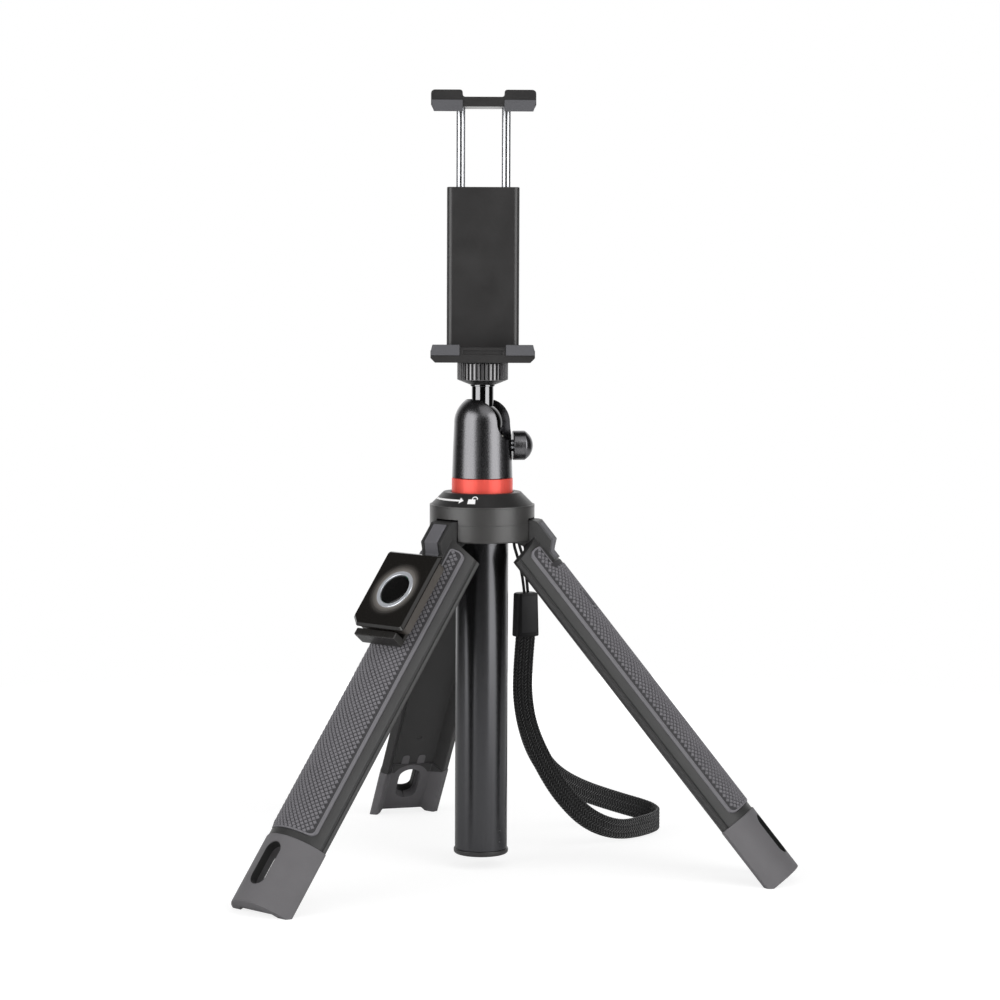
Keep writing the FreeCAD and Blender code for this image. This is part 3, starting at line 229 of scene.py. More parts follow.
def woven(name, colour, ribs, pitch):
    # flat herringbone braid along a strap: U runs across it from 0 to 1, V along it in widths
    shader = Shader(name)
    across, along = (shader.node("SeparateXYZ", {}, {0: shader.node("UVMap")}, axis) for axis in (0, 1))
    column = across * ribs
    inside = column.calc("FRACT")
    fold = (inside - 0.5).calc("ABSOLUTE")
    side = column.calc("FLOOR").calc("MODULO", 2) * 2 - 1
    yarn = ((along * pitch) + inside * side * 0.9).calc("FRACT")
    strand = (yarn * math.pi).calc("SINE")
    height = strand * (1 - fold * fold * 2.6)
    fuzz = shader.noise(5200, 2)
    # the colour follows the braid's height: painted shade down between the yarns and a painted highlight on their
    # crowns
    shade = shader.band(height * 0.8 + fuzz * 0.3, 0.1, 1)
    shader.set(Base_Color=shader.tint(shade, [c * 0.25 for c in colour], [c * 1.8 for c in colour]))
    shader.set(Roughness=0.85, Sheen_Weight=0.35, Sheen_Roughness=0.5, Specular_IOR_Level=0.25)
    shader.set(Normal=shader.bump(height + fuzz * 0.15, 0.28))
    return shader.material


finish = {
    "column": anodised("columnAnodised", (0.095, 0.095, 0.100), 0.23, 1.0),
    "housing": anodised("housingAnodised", (0.170, 0.168, 0.175), 0.27, 1.0),
    "knurl": ridgedPaintedLight("knurlAnodised", (0.26, 0.255, 0.26), 0.36, 8.12, 8.42),
    "coral": anodised("coralAnodised", (0.84, 0.095, 0.070), 0.40, 0.35),
    "hub": moulded("hubPlastic", (0.034, 0.033, 0.032), 0.38, shine=0.8),
    "lock": moulded("lockPlastic", (0.018, 0.0175, 0.0175), 0.42, shine=0.6),
    "leg": moulded("legPlastic", (0.025, 0.0245, 0.0245), 0.46, 0.05, shine=0.55),
    "jaw": moulded("jawPlastic", (0.028, 0.027, 0.027), 0.32, shine=0.6),
    "nylon": moulded("nylon", (0.62, 0.60, 0.55), 0.5),
    "pad": rubbery("padRubber", (0.165, 0.160, 0.172)),
    "boot": rubbery("bootRubber", (0.132, 0.128, 0.134)),
    "insert": rubbery("insertRubber", (0.110, 0.108, 0.118)),
    # painted shade for the gaps between the pad's studs
    "gripPaintedShade": rubbery("gripPaintedShade", (0.040, 0.039, 0.042)),
    "jawPad": rubbery("jawRubber", (0.085, 0.085, 0.092)),
    "stem": polished("stemChrome", (0.20, 0.20, 0.205), 0.06),
    "steel": polished("turnedSteel", (0.55, 0.56, 0.58), 0.22),
    "silver": polished("bezelSilver", (0.82, 0.85, 0.90), 0.18, 0.6),
    "disc": glossy("buttonGloss", (0.003, 0.003, 0.003), 0.22),
    "side": moulded("remoteSide", (0.070, 0.062, 0.055), 0.42),
    "cradle": moulded("cradlePlastic", (0.018, 0.017, 0.016), 0.28),
    "board": glossy("circuitGreen", (0.02, 0.12, 0.05), 0.3),
    "weave": woven("strapWeave", (0.009, 0.009, 0.0095), 6, 6.4),
    "tab": rubbery("tabRubber", (0.010, 0.010, 0.011), 0.45),
    "tabFace": rubbery("tabFace", (0.032, 0.032, 0.034), 0.5),
    "cord": moulded("cordBraid", (0.008, 0.008, 0.008), 0.7, 0.08),
    "print": moulded("whitePrint", (0.86, 0.86, 0.86), 0.5, 0.01),
    # near black: painted shade inside the boots' slots
    "dark": moulded("recessPaintedShade", (0.006, 0.006, 0.006), 0.6),
}
print("finishes made")


# Shared mesh steps

def outline(corners, steps=6):
    # corners are (across, up) or (across, up, radius) where the corner is rounded
    path = []
    for i, corner in enumerate(corners):
        here = Vector(corner[:2])
        if len(corner) < 3:
            path.append(here)
            continue
        back = (Vector(corners[i - 1][:2]) - here).normalized()
        ahead = (Vector(corners[(i + 1) % len(corners)][:2]) - here).normalized()
        half = back.angle(ahead) / 2
        reach = corner[2] / math.tan(half)
        centre = here + (back + ahead).normalized() * (corner[2] / math.sin(half))
        first = here + back * reach - centre
        last = here + ahead * reach - centre
        begin = math.atan2(first.y, first.x)
        turn = (math.atan2(last.y, last.x) - begin + math.pi) % (2 * math.pi) - math.pi
        path += [centre + Vector((math.cos(begin + turn * k / steps), math.sin(begin + turn * k / steps))) * corner[2]
                 for k in range(steps + 1)]
    return path


def arc(across, up, radius, begin, end, steps):
    angles = [math.radians(begin + (end - begin) * k / steps) for k in range(steps + 1)]
    return [Vector((across + radius * math.cos(a), up + radius * math.sin(a))) for a in angles]


def lathe(profile, steps=96, closed=True):
    # an outline of (radius, height) turned about Z; an open one starts and ends on the axis
    bm = bmesh.new()
    rim = [bm.verts.new((p[0], 0, p[1])) for p in profile]
    pairs = list(zip(rim, rim[1:])) + ([(rim[-1], rim[0])] if closed else [])
    edges = [bm.edges.new(pair) for pair in pairs]
    bmesh.ops.spin(bm, geom=rim + edges, cent=(0, 0, 0), axis=(0, 0, 1), angle=2 * math.pi,
                   steps=steps, use_merge=True)
    return tidy(bm)


def tidy(bm, reach=0.0005):
    bmesh.ops.remove_doubles(bm, verts=bm.verts, dist=reach)
    bmesh.ops.recalc_face_normals(bm, faces=bm.faces)
    return bm


planes = {
    "XY": Matrix(((1, 0, 0), (0, 1, 0), (0, 0, 1))).to_4x4(),
    "XZ": Matrix(((1, 0, 0), (0, 0, 1), (0, 1, 0))).to_4x4(),
    "YZ": Matrix(((0, 0, 1), (1, 0, 0), (0, 1, 0))).to_4x4(),
}


def prism(path, low, high, plane="XY"):
    # an outline drawn on a plane and extruded along its normal from low to high
    bm = bmesh.new()
    face = bm.faces.new([bm.verts.new((*p[:2], low)) for p in path])
    made = bmesh.ops.extrude_face_region(bm, geom=[face])["geom"]
    bmesh.ops.translate(bm, vec=(0, 0, high - low), verts=[v for v in made if isinstance(v, bmesh.types.BMVert)])
    bmesh.ops.transform(bm, matrix=planes[plane], verts=bm.verts)
    return tidy(bm)


def stacked(sections, plane="XY"):
    # outlines with as many points each, at rising heights, skinned into one closed piece
    bm = bmesh.new()
    rings = [[bm.verts.new((*p[:2], height)) for p in path] for path, height in sections]
    for low, high in zip(rings, rings[1:]):
        for i in range(len(low)):
            k = (i + 1) % len(low)
            bm.faces.new((low[i], low[k], high[k], high[i]))
    bm.faces.new(list(reversed(rings[0])))
    bm.faces.new(rings[-1])
    bmesh.ops.transform(bm, matrix=planes[plane], verts=bm.verts)
    return tidy(bm)


def bar(start, end, radius, steps=48):
    # a round bar between two points
    start, end = Vector(start), Vector(end)
    bm = bmesh.new()
    bmesh.ops.create_cone(bm, cap_ends=True, segments=steps, radius1=radius, radius2=radius,
                          depth=(end - start).length)
    turn = (end - start).to_track_quat("Z", "Y").to_matrix().to_4x4()
    bmesh.ops.transform(bm, matrix=Matrix.Translation((start + end) / 2) @ turn, verts=bm.verts)
    return bm


def box(low, high):
    bm = bmesh.new()
    bmesh.ops.create_cube(bm, size=1)
    size = Vector(high) - Vector(low)
    bmesh.ops.transform(bm, matrix=Matrix.Translation((Vector(low) + Vector(high)) / 2) @ Matrix.Diagonal((*size, 1)),
                        verts=bm.verts)
    return bm


def meshObject(name, bm):
    mesh = bpy.data.meshes.new(name)
    bm.to_mesh(mesh)
    bm.free()
    made = bpy.data.objects.new(name, mesh)
    scene.collection.objects.link(made)
    return made


def settle(made):
    # keeps what the modifiers give and drops them
    bpy.context.view_layer.update()
    graph = bpy.context.evaluated_depsgraph_get()
    final = bpy.data.meshes.new_from_object(made.evaluated_get(graph), preserve_all_data_layers=True, depsgraph=graph)
    made.modifiers.clear()
    made.data = final
    final.name = made.name


def combine(bm, tools, way):
    # one boolean step after another, in millimetres, where the piece was drawn
    made = meshObject("blank", bm)
    for tool in tools:
        other = meshObject("tool", tool)
        blend = made.modifiers.new("blend", "BOOLEAN")
        blend.operation = way
        blend.solver = "EXACT"
        blend.object = other
        settle(made)
        bpy.data.objects.remove(other)
    final = bmesh.new()
    final.from_mesh(made.data)
    bpy.data.objects.remove(made)
    return final


def shaped(bm, cuts=(), joins=(), bevel=0, segments=2, angle=35, clamp=True):
    # the piece's mesh in millimetres: joined, cut and with its edges rounded
    if joins:
        bm = combine(bm, joins, "UNION")
    if cuts:
        bm = combine(bm, cuts, "DIFFERENCE")
    if not bevel:
        return bm
    bmesh.ops.remove_doubles(bm, verts=bm.verts, dist=0.004)
    bmesh.ops.dissolve_limit(bm, angle_limit=math.radians(0.5), verts=bm.verts, edges=bm.edges)
    made = meshObject("blank", bm)
    edge = made.modifiers.new("edges", "BEVEL")
    edge.width = bevel
    edge.segments = segments
    edge.limit_method = "ANGLE"
    edge.angle_limit = math.radians(angle)
    edge.use_clamp_overlap = clamp
    edge.miter_outer = "MITER_ARC"
    settle(made)
    final = bmesh.new()
    final.from_mesh(made.data)
    bpy.data.objects.remove(made)
    return final


def piece(node, bm, look, body, place=None, stands=True, slot=None, angle=35, **steps):
    # finishes one piece: shaped, put in place, smoothed, given its look and set on its body
    bm = shaped(bm, **steps)
    made = meshObject(node + "_finished", bm)
    made.data.transform((place or Matrix.Identity(4)) @ Matrix.Scale(mm, 4))
    made.data.polygons.foreach_set("use_smooth", [True] * len(made.data.polygons))
    made.data.set_sharp_from_angle(angle=math.radians(angle))
    even = made.modifiers.new("even", "WEIGHTED_NORMAL")
    even.keep_sharp = True
    even.weight = 60
    settle(made)
    made.data.materials.clear()
    made.data.materials.append(finish[look])
    if stands:
        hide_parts(node)
    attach(made, body)
    return made


def span(node):
    # a turned node's radius, bottom and top
    low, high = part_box(node)
    return high.x / mm, low.z / mm, high.z / mm


bodyOf = {node: body for body, members in frame["record"]["behaviour"]["bodies"].items() for node in members}
slotOf = {part["node"]: part["material_slot"] for part in frame["record"]["subparts"]}


def dress(node, bm, look, **options):
    return piece(node, bm, look, bodyOf[node], slot=slotOf[node], **options)


# Column, end cap, hub and twist lock

column = {"wall": 0.6, "edge": 0.12, "stakeTurn": -44, "stakeUp": (13.2, 9.4), "stakeSize": 0.45}
radius, bottom, top = span("outer_tube")
tubeRadius = radius
stakes = []
for up in column["stakeUp"]:
    turn = math.radians(column["stakeTurn"])
    stake = bmesh.new()
    bmesh.ops.create_uvsphere(stake, u_segments=16, v_segments=10, radius=column["stakeSize"])
    bmesh.ops.translate(stake, verts=stake.verts, vec=(
        (radius + 0.12) * math.cos(turn), (radius + 0.12) * math.sin(turn), up))
    stakes.append(stake)
dress("outer_tube", lathe(outline([
    (radius - column["wall"], bottom), (radius, bottom, column["edge"]), (radius, top),
    (radius - column["wall"], top)]), 128), "column", cuts=stakes)

radius, bottom, top = span("end_cap")
dress("end_cap", lathe(outline([
    (0, bottom), (radius, bottom, 0.9), (radius, bottom + 1.8, 0.25), (tubeRadius - 0.7, bottom + 1.8),
    (tubeRadius - 0.7, top), (0, top)]), 96, closed=False), "jaw")

hub = {"notch": 9.7, "notchTop": 118, "edge": 0.5, "seamUp": 116.2, "seam": 0.12, "bore": 12.5, "boreFloor": 119.5}
radius, bottom, top = span("hub")
hubRadius = radius
seam = hub["seam"]
notches = []
for turn in (-133.24, -13.24, 106.76):
    notch = box((tubeRadius - 0.6, -hub["notch"] / 2, bottom - 1), (radius + 2, hub["notch"] / 2, hub["notchTop"]))
    bmesh.ops.rotate(notch, verts=notch.verts, cent=(0, 0, 0), matrix=Matrix.Rotation(math.radians(turn), 3, "Z"))
    notches.append(notch)
dress("hub", lathe(outline([
    (tubeRadius + 0.02, bottom), (radius, bottom, hub["edge"]),
    (radius, hub["seamUp"] - seam), (radius - seam / 2, hub["seamUp"] - seam / 2), (radius, hub["seamUp"]),
    (radius, top, 0.1), (hub["bore"], top), (hub["bore"], hub["boreFloor"]), (tubeRadius + 0.02, hub["boreFloor"])]), 128),
    "hub", cuts=notches, bevel=0.14, angle=40)

lock = {"topRadius": 12.9, "mouth": 10.45, "mouthDepth": 0.9, "bore": 9.85, "sleeve": 12.2}
radius, bottom, top = span("lock_ring")
slopeFoot = top - (radius - lock["topRadius"])
dress("lock_ring", lathe(outline([
    (lock["bore"], bottom), (lock["sleeve"], bottom), (lock["sleeve"], slopeFoot - 0.25), (radius, slopeFoot - 0.25, 0.1),
    (radius, slopeFoot, 0.12), (lock["topRadius"], top, 0.25), (lock["mouth"], top, 0.15),
    (lock["mouth"], top - lock["mouthDepth"]), (lock["bore"], top - lock["mouthDepth"])]), 128), "lock")
print("column, hub and lock made")


# Turning mark on the lock's slope: a curved arrow and an open padlock

def onSlope(bm, proud):
    # wraps a flat shape, drawn as (degrees round from the front, distance up the slope), onto the cone
    slope = math.sqrt(0.5)
    for vert in bm.verts:
        turn, up, lift = vert.co
        out = hubRadius - up * slope + (lift + proud) * slope
        rise = slopeFoot + up * slope + (lift + proud) * slope
        angle = math.radians(turn - 90)
        vert.co = (out * math.cos(angle), out * math.sin(angle), rise)


mark = {"proud": 0.015, "thick": 0.03, "tail": -92, "neck": -29.5, "tip": -24, "up": 3.5, "width": 0.75, "barb": 1.25,
        "lockLeft": -18, "lockRight": -8.5, "lockUp": 3.2, "lockHeight": 2.0, "shackle": 0.85, "shackleWidth": 0.38}
degree = 180 / math.pi / 15.6
flat = bmesh.new()
count = 24
for k in range(count):
    a = mark["tail"] + (mark["neck"] - mark["tail"]) * k / count
    b = mark["tail"] + (mark["neck"] - mark["tail"]) * (k + 1) / count
    half = mark["width"] / 2
    flat.faces.new([flat.verts.new(p) for p in (
        (a, mark["up"] - half, 0), (b, mark["up"] - half, 0), (b, mark["up"] + half, 0), (a, mark["up"] + half, 0))])
flat.faces.new([flat.verts.new(p) for p in (
    (mark["neck"], mark["up"] - mark["barb"], 0), (mark["tip"], mark["up"], 0), (mark["neck"], mark["up"] + mark["barb"], 0))])
left, right = mark["lockLeft"], mark["lockRight"]
flat.faces.new([flat.verts.new((p.x, p.y, 0)) for p in outline([
    (left, mark["lockUp"] - mark["lockHeight"] / 2), (right, mark["lockUp"] - mark["lockHeight"] / 2),
    (right, mark["lockUp"] + mark["lockHeight"] / 2), (left, mark["lockUp"] + mark["lockHeight"] / 2)])])
hinge = right - mark["shackle"] * degree * 0.3
outer = arc(0, 0, mark["shackle"] + mark["shackleWidth"] / 2, 180, -20, 14)
inner = arc(0, 0, mark["shackle"] - mark["shackleWidth"] / 2, -20, 180, 14)
base = mark["lockUp"] + mark["lockHeight"] / 2 + 0.25
legsOf = [Vector((inner[-1].x, -0.35)), Vector((outer[0].x, -0.35))]
ring = [flat.verts.new((hinge + p.x * degree, base + p.y, 0)) for p in outer + inner + legsOf]
flat.faces.new(ring)
bmesh.ops.triangulate(flat, faces=flat.faces)
bmesh.ops.remove_doubles(flat, verts=flat.verts, dist=0.001)
bmesh.ops.solidify(flat, geom=flat.faces, thickness=-mark["thick"])
onSlope(flat, mark["proud"])
tidy(flat, 0.0001)
piece("turning_mark", flat, "print", "lock_ring", stands=False)
print("turning mark made")


# Head: coral ring, ball housing, knob, ball and stem, knurled ring

radius, bottom, top = span("base_ring")
dress("base_ring", lathe(outline([
    (9, bottom), (radius, bottom, 0.3), (radius, top, 0.3), (9, top)]), 128), "coral")

head = {"base": 10.05, "shoulder": 9.4, "shoulderUp": 148.8, "mouth": 5.5, "cavity": 6.9, "lip": 5.2, "ballUp": 149,
        "slotWidth": 11, "slotTurn": -23, "domeRadius": 9.6, "sideRadius": 900, "floor": 138}
_, bottom, top = span("head_housing")


def bulge(start, end, radius, steps):
    # an arc from start to end that swells away from the axis
    start, end = Vector(start), Vector(end)
    chord = end - start
    side = Vector((chord.y, -chord.x)).normalized()
    centre = (start + end) / 2 - side * math.sqrt(radius * radius - chord.length_squared / 4)
    a, b = start - centre, end - centre
    begin = math.atan2(a.y, a.x)
    turn = math.atan2(b.y, b.x) - begin
    return [centre + Vector((math.cos(begin + turn * k / steps), math.sin(begin + turn * k / steps))) * radius
            for k in range(steps + 1)]


lipUp = head["ballUp"] + math.sqrt(head["cavity"] ** 2 - head["lip"] ** 2)
profile = [Vector((2.52, bottom))] + [Vector((head["base"] - 0.25, bottom))]
profile += bulge((head["base"], bottom + 0.25), (head["shoulder"], head["shoulderUp"]), head["sideRadius"], 6)
profile += bulge((head["shoulder"], head["shoulderUp"]), (head["mouth"], top), head["domeRadius"], 12)[1:]
profile += arc(0, head["ballUp"], head["cavity"], math.degrees(math.acos(head["lip"] / head["cavity"])), 0, 8)
profile += [Vector((head["cavity"], head["floor"])), Vector((2.52, head["floor"]))]
half = head["slotWidth"] / 2
slotPath = arc(0, head["ballUp"], half, 180, 360, 20) + [Vector((half, top + 3)), Vector((-half, top + 3))]
slotTool = prism(slotPath, 0, head["base"] + 3, "YZ")
bmesh.ops.rotate(slotTool, verts=slotTool.verts, cent=(0, 0, 0),
                 matrix=Matrix.Rotation(math.radians(head["slotTurn"]), 3, "Z"))
dress("head_housing", lathe(profile, 128), "housing", cuts=[slotTool], bevel=0.28, segments=3, angle=38)

knob = {"turn": 7, "up": 141.6, "radius": 4.9, "start": 10.1, "face": 14, "dome": 2.9, "neck": 2.0, "edge": 0.35}
sphere = (knob["radius"] ** 2 + knob["dome"] ** 2) / (2 * knob["dome"])
lean = math.degrees(math.asin(knob["radius"] / sphere))
crown = arc(0, knob["face"] + knob["dome"] - sphere, sphere, 90 - lean, 90, 12)
aimKnob = (Matrix.Translation((0, 0, knob["up"] * mm)) @ Matrix.Rotation(math.radians(knob["turn"]), 4, "Z")
           @ Matrix.Rotation(math.radians(90), 4, "Y"))
knobPath = outline([(0, knob["start"]), (knob["radius"], knob["start"], knob["edge"]), (knob["radius"], knob["face"])])
dress("lock_knob", lathe(knobPath[:-1] + crown, 64, closed=False), "housing", place=aimKnob)

stem = {"ball": 6.8, "ballUp": 149, "neck": 3.65, "flange": 4.1, "flangeUp": 161.3, "flangeTop": 161.8, "thread": 3.175}
_, bottom, top = span("ball_stem")
meet = math.degrees(math.acos(stem["neck"] / stem["ball"]))
dress("ball_stem", lathe(
    arc(0, stem["ballUp"], stem["ball"], -90, meet, 40) + outline([
        (stem["neck"], stem["ballUp"] + 8), (stem["neck"], stem["flangeUp"]), (stem["flange"], stem["flangeUp"], 0.1),
        (stem["flange"], stem["flangeTop"]), (stem["thread"], stem["flangeTop"]), (stem["thread"], top), (0, top)]),
    96, closed=False), "stem")

knurl = {"count": 38, "depth": 0.4, "cone": 163.5, "rim": 4.4, "bore": 3.25, "edge": 0.25}
radius, bottom, top = span("knurled_ring")
blank = lathe(outline([
    (knurl["bore"], bottom), (knurl["rim"], bottom), (radius, knurl["cone"], 0.2), (radius, top, knurl["edge"]),
    (knurl["bore"], top)]), 152)
grooves = []
for k in range(knurl["count"]):
    turn = 360 * k / knurl["count"]
    groove = bar((radius + 0.12, 0, knurl["cone"] + 0.1), (radius + 0.12, 0, top + 1), 0.5, 10)
    bmesh.ops.rotate(groove, verts=groove.verts, cent=(0, 0, 0), matrix=Matrix.Rotation(math.radians(turn), 3, "Z"))
    grooves.append(groove)
allGrooves = bmesh.new()
for groove in grooves:
    scrap = bpy.data.meshes.new("scrap")
    groove.to_mesh(scrap)
    allGrooves.from_mesh(scrap)
    groove.free()
    bpy.data.meshes.remove(scrap)
dress("knurled_ring", blank, "knurl", cuts=[allGrooves], angle=30)
print("head made")


# Clamp: jaws, pads, spine and rods

jaw = {"half": 17.15, "front": 10.6, "back": 7, "bottom": 169.4, "top": 173.4, "chamfer": 1.5, "lip": 7.4, "lipRise": 1,
       "lipWall": 1.3, "padInner": 7.6, "skin": 0.4, "floor": 0.8, "padLip": 1.1, "skirt": 1.6}
dress("clamp_base", prism(outline([
    (-jaw["half"], jaw["top"], 0.2), (-jaw["half"], jaw["bottom"] + jaw["chamfer"], 0.4),
    (-jaw["half"] + jaw["chamfer"], jaw["bottom"], 0.4), (jaw["half"] - jaw["chamfer"], jaw["bottom"], 0.4),
    (jaw["half"], jaw["bottom"] + jaw["chamfer"], 0.4), (jaw["half"], jaw["top"], 0.2)], 4),
    -jaw["front"], jaw["back"], "XZ"), "jaw",
    joins=[box((-jaw["lip"], -jaw["front"], jaw["top"] - 1), (jaw["lip"], jaw["lipWall"] - jaw["front"],
                                                             jaw["top"] + jaw["lipRise"]))],
    cuts=[bar((0, 0, jaw["bottom"] - 1), (0, 0, jaw["top"] + 1), 3.225),
          box((-jaw["lip"] + 0.8, -jaw["front"] - 1, jaw["bottom"] + 2.6), (jaw["lip"] - 0.8, -jaw["front"] + 0.5,
                                                                          jaw["top"] + 0.1))],
    bevel=0.25, angle=30)


def padPair(node, profile, inner, outer, look, lean):
    # two pads whose outer ends lean in by so much towards their free edge
    right = prism(profile, inner, outer, "YZ")
    ups = [vert.co.z for vert in right.verts]
    free = max(ups) if lean > 0 else min(ups)
    for vert in right.verts:
        if vert.co.x > outer - 0.01:
            vert.co.x -= abs(lean) * max(0, 1 - abs(vert.co.z - free) / (max(ups) - min(ups)) * 1.3)
    scrap = bpy.data.meshes.new("scrap")
    right.to_mesh(scrap)
    right.from_mesh(scrap)
    bpy.data.meshes.remove(scrap)
    count = len(right.verts) // 2
    right.verts.ensure_lookup_table()
    bmesh.ops.scale(right, vec=(-1, 1, 1), verts=right.verts[count:])
    bmesh.ops.recalc_face_normals(right, faces=right.faces)
    return dress(node, right, look, bevel=0.35, segments=3, angle=30)


padBack, padFront, lipBack = -1.3, -jaw["front"] - jaw["skin"], jaw["lipWall"] - jaw["front"]
floor = jaw["top"] + jaw["floor"]
padPair("lower_pads", outline([
    (padFront, jaw["top"] - jaw["skirt"]), (-jaw["front"], jaw["top"] - jaw["skirt"]), (-jaw["front"], jaw["top"]),
    (padBack, jaw["top"]), (padBack, floor), (lipBack, floor, 0.3), (lipBack, floor + jaw["padLip"]),
    (padFront, floor + jaw["padLip"])]), jaw["padInner"], jaw["half"], "jawPad", 0.6)

upper = {"under": 253.2, "inner": 6.8, "rise": 5.1, "bar": 2.8, "drop": 0.4, "round": 1.3, "skirt": 1.8, "ceiling": 252.4}
under = upper["under"]
dress("upper_jaw", prism(outline([
    (-jaw["half"], under), (-upper["inner"], under), (-upper["inner"], under - upper["drop"]),
    (upper["inner"], under - upper["drop"]), (upper["inner"], under), (jaw["half"], under),
    (jaw["half"], under + upper["rise"], upper["round"]),
    (upper["inner"], under + upper["rise"], upper["round"] * 0.7), (upper["inner"], under + upper["bar"], 0.8),
    (-upper["inner"], under + upper["bar"], 0.8), (-upper["inner"], under + upper["rise"], upper["round"] * 0.7),
    (-jaw["half"], under + upper["rise"], upper["round"])], 5), -jaw["front"], jaw["back"], "XZ"), "jaw",
    bevel=0.3, segments=3, angle=30)
padPair("upper_pads", outline([
    (padFront, upper["ceiling"] - jaw["padLip"]), (lipBack, upper["ceiling"] - jaw["padLip"]),
    (lipBack, upper["ceiling"], 0.3), (padBack, upper["ceiling"]), (padBack, under), (-jaw["front"], under),
    (-jaw["front"], under + upper["skirt"]), (padFront, under + upper["skirt"])]), upper["inner"], jaw["half"], "jawPad", -0.9)

spine = {"half": 12, "front": 1.2, "top": 227, "corner": 2, "rod": 1.5, "spread": 7.5, "rodBack": 3, "rodFoot": 198}
bores = [bar((side * spine["spread"], spine["rodBack"], 175), (side * spine["spread"], spine["rodBack"], 224), 2.5)
         for side in (-1, 1)]
bores += [bar((side * spine["spread"], spine["rodBack"], 223), (side * spine["spread"], spine["rodBack"], 228), 1.55)
          for side in (-1, 1)]
channel = prism(outline([(-2.6, 180), (2.6, 180, 2.5), (2.6, 219, 2.5), (-2.6, 219, 2.5), (-2.6, 180, 2.5)][1:]), 5.9, 8, "XZ")
dress("clamp_spine", prism(outline([
    (-spine["half"], -spine["front"], spine["corner"]), (spine["half"], -spine["front"], spine["corner"]),
    (spine["half"], jaw["back"], spine["corner"]), (-spine["half"], jaw["back"], spine["corner"])]),
    jaw["top"], spine["top"]), "jaw", cuts=bores + [channel], bevel=0.3, segments=3, angle=40)
rodTop = under + 2
rods = bmesh.new()
for side in (-1, 1):
    for low, high, size in ((spine["rodFoot"], rodTop, spine["rod"]), (spine["rodFoot"], spine["rodFoot"] + 2, 2.35)):
        made = bmesh.ops.create_cone(rods, cap_ends=True, segments=48, radius1=size, radius2=size, depth=high - low)
        bmesh.ops.translate(rods, verts=made["verts"], vec=(side * spine["spread"], spine["rodBack"], (low + high) / 2))
dress("guide_rods", rods, "steel", bevel=0.15, angle=40)
print("clamp made")


# Legs, drawn folded at the front and then splayed and turned about the column

pivotOut, pivotUp, splay = 13, 114, 39
legTurns = {"a": -133.24, "b": -13.24, "c": 106.76}


def legPlace(letter):
    centre = Vector((0, -pivotOut, pivotUp)) * mm
    return (Matrix.Rotation(math.radians(legTurns[letter] + 90), 4, "Z") @ Matrix.Translation(centre)
            @ Matrix.Rotation(math.radians(-splay), 4, "X") @ Matrix.Translation(-centre))


leg = {"chord": 12.75, "crown": 17, "chordUp": -7.94, "inner": (10.4, -6.58), "web": (7.5, -11.3), "foot": -5.3,
       "top": 110, "shoulder": 108.6, "corner": 105.2, "groove": 0.4, "grooveAt": 0.3, "grooveHalf": 0.18, "lugHalf": 4.5,
       "insert": 2.9, "insertGap": 3.25, "mark": (9, 1.05, 0.2)}


def backArc(half, crown, radius, steps=28):
    # the leg's rounded back from one side to the other, through the crown
    centre = radius - crown
    lean = math.degrees(math.asin(half / radius))
    return arc(0, centre, radius, -90 - lean, -90 + lean, steps)


def legSection(proud, side):
    half = leg["chord"] + side
    crown = leg["crown"] + proud
    low = leg["chordUp"] + side * 0.58
    rise = crown + low
    radius = (rise * rise + half * half) / (2 * rise)
    path = backArc(half, crown, radius)
    innerX, innerY = leg["inner"][0] + side * 0.8, leg["inner"][1] + side * 0.58
    webX, webY = leg["web"][0] - proud / 2, leg["web"][1] + proud
    return path, (innerX, innerY), (webX, webY), radius


shellBack, shellInner, shellWeb, backRadius = legSection(0, 0)


def grooved(back, radius):
    # a moulded groove along the side of the back, just before its edge
    start, run = back[-3], back[-1] - back[-3]
    inward = (Vector((0, radius - leg["crown"])) - start - run / 2).normalized() * leg["groove"]
    at, half = leg["grooveAt"], leg["grooveHalf"]
    return [start + run * (at - half), start + run * (at - half / 2) + inward, start + run * (at + half / 2) + inward,
            start + run * (at + half)]


def rounded(back, groove, inner, web, radius):
    # the whole section: the back's arc, then one side and its mirror image, with rounded corners
    side = [*groove, (*back[-1], radius), (*inner, radius), (*web, radius)]
    left = [(-corner[0], *corner[1:]) for corner in reversed(side)]
    return outline([tuple(p) for p in back[2:-2]] + side + left, 3)


shellPath = rounded(shellBack, grooved(shellBack, backRadius), shellInner, shellWeb, 0.45)


def backSlice(inside, outside, half, low, high, steps=28):
    # part of a tube wall that follows the leg's back
    outer = backRadius + outside
    inner = backRadius + inside
    centre = backRadius - leg["crown"]
    reach = math.degrees(math.asin(half / outer))
    reachIn = math.degrees(math.asin(half / inner))
    path = arc(0, centre, outer, -90 - reach, -90 + reach, steps) + arc(0, centre, inner, -90 + reachIn, -90 - reachIn, steps)
    return prism(path, low, high)


pad = {"half": 9.95, "foot": -2.8, "top": 105.4, "fork": 97.6, "forkHalf": 5.4, "round": 2.1, "proud": 0.2, "sunk": 0.8,
       "rim": 0.4, "margin": 0.6, "along": 1.86, "across": 1.79, "knobWide": 0.8, "knobTop": 0.55, "knobTall": 0.3,
       "dock": 82, "dockHalf": 1.6, "dockTall": 1.6}


def padFace(grow=0):
    half, foot, top, fork, forkHalf = (pad["half"] + grow, pad["foot"] - grow, pad["top"] + grow,
                                       pad["fork"] - grow, pad["forkHalf"] - grow)
    r = pad["round"] + grow
    return outline([(-half, foot, r), (half, foot, r), (half, top, r), (forkHalf, top, 0.9), (forkHalf, fork, 0.4),
                    (-forkHalf, fork, 0.4), (-forkHalf, top, 0.9), (-half, top, r)])


def dockTool(grow=0):
    half = pad["dockHalf"] + grow
    path = arc(0, pad["dock"] + pad["dockTall"], half, 0, 180, 10) + arc(0, pad["dock"] - pad["dockTall"], half, 180, 360, 10)
    return prism(path, -19, -14.6, "XZ")


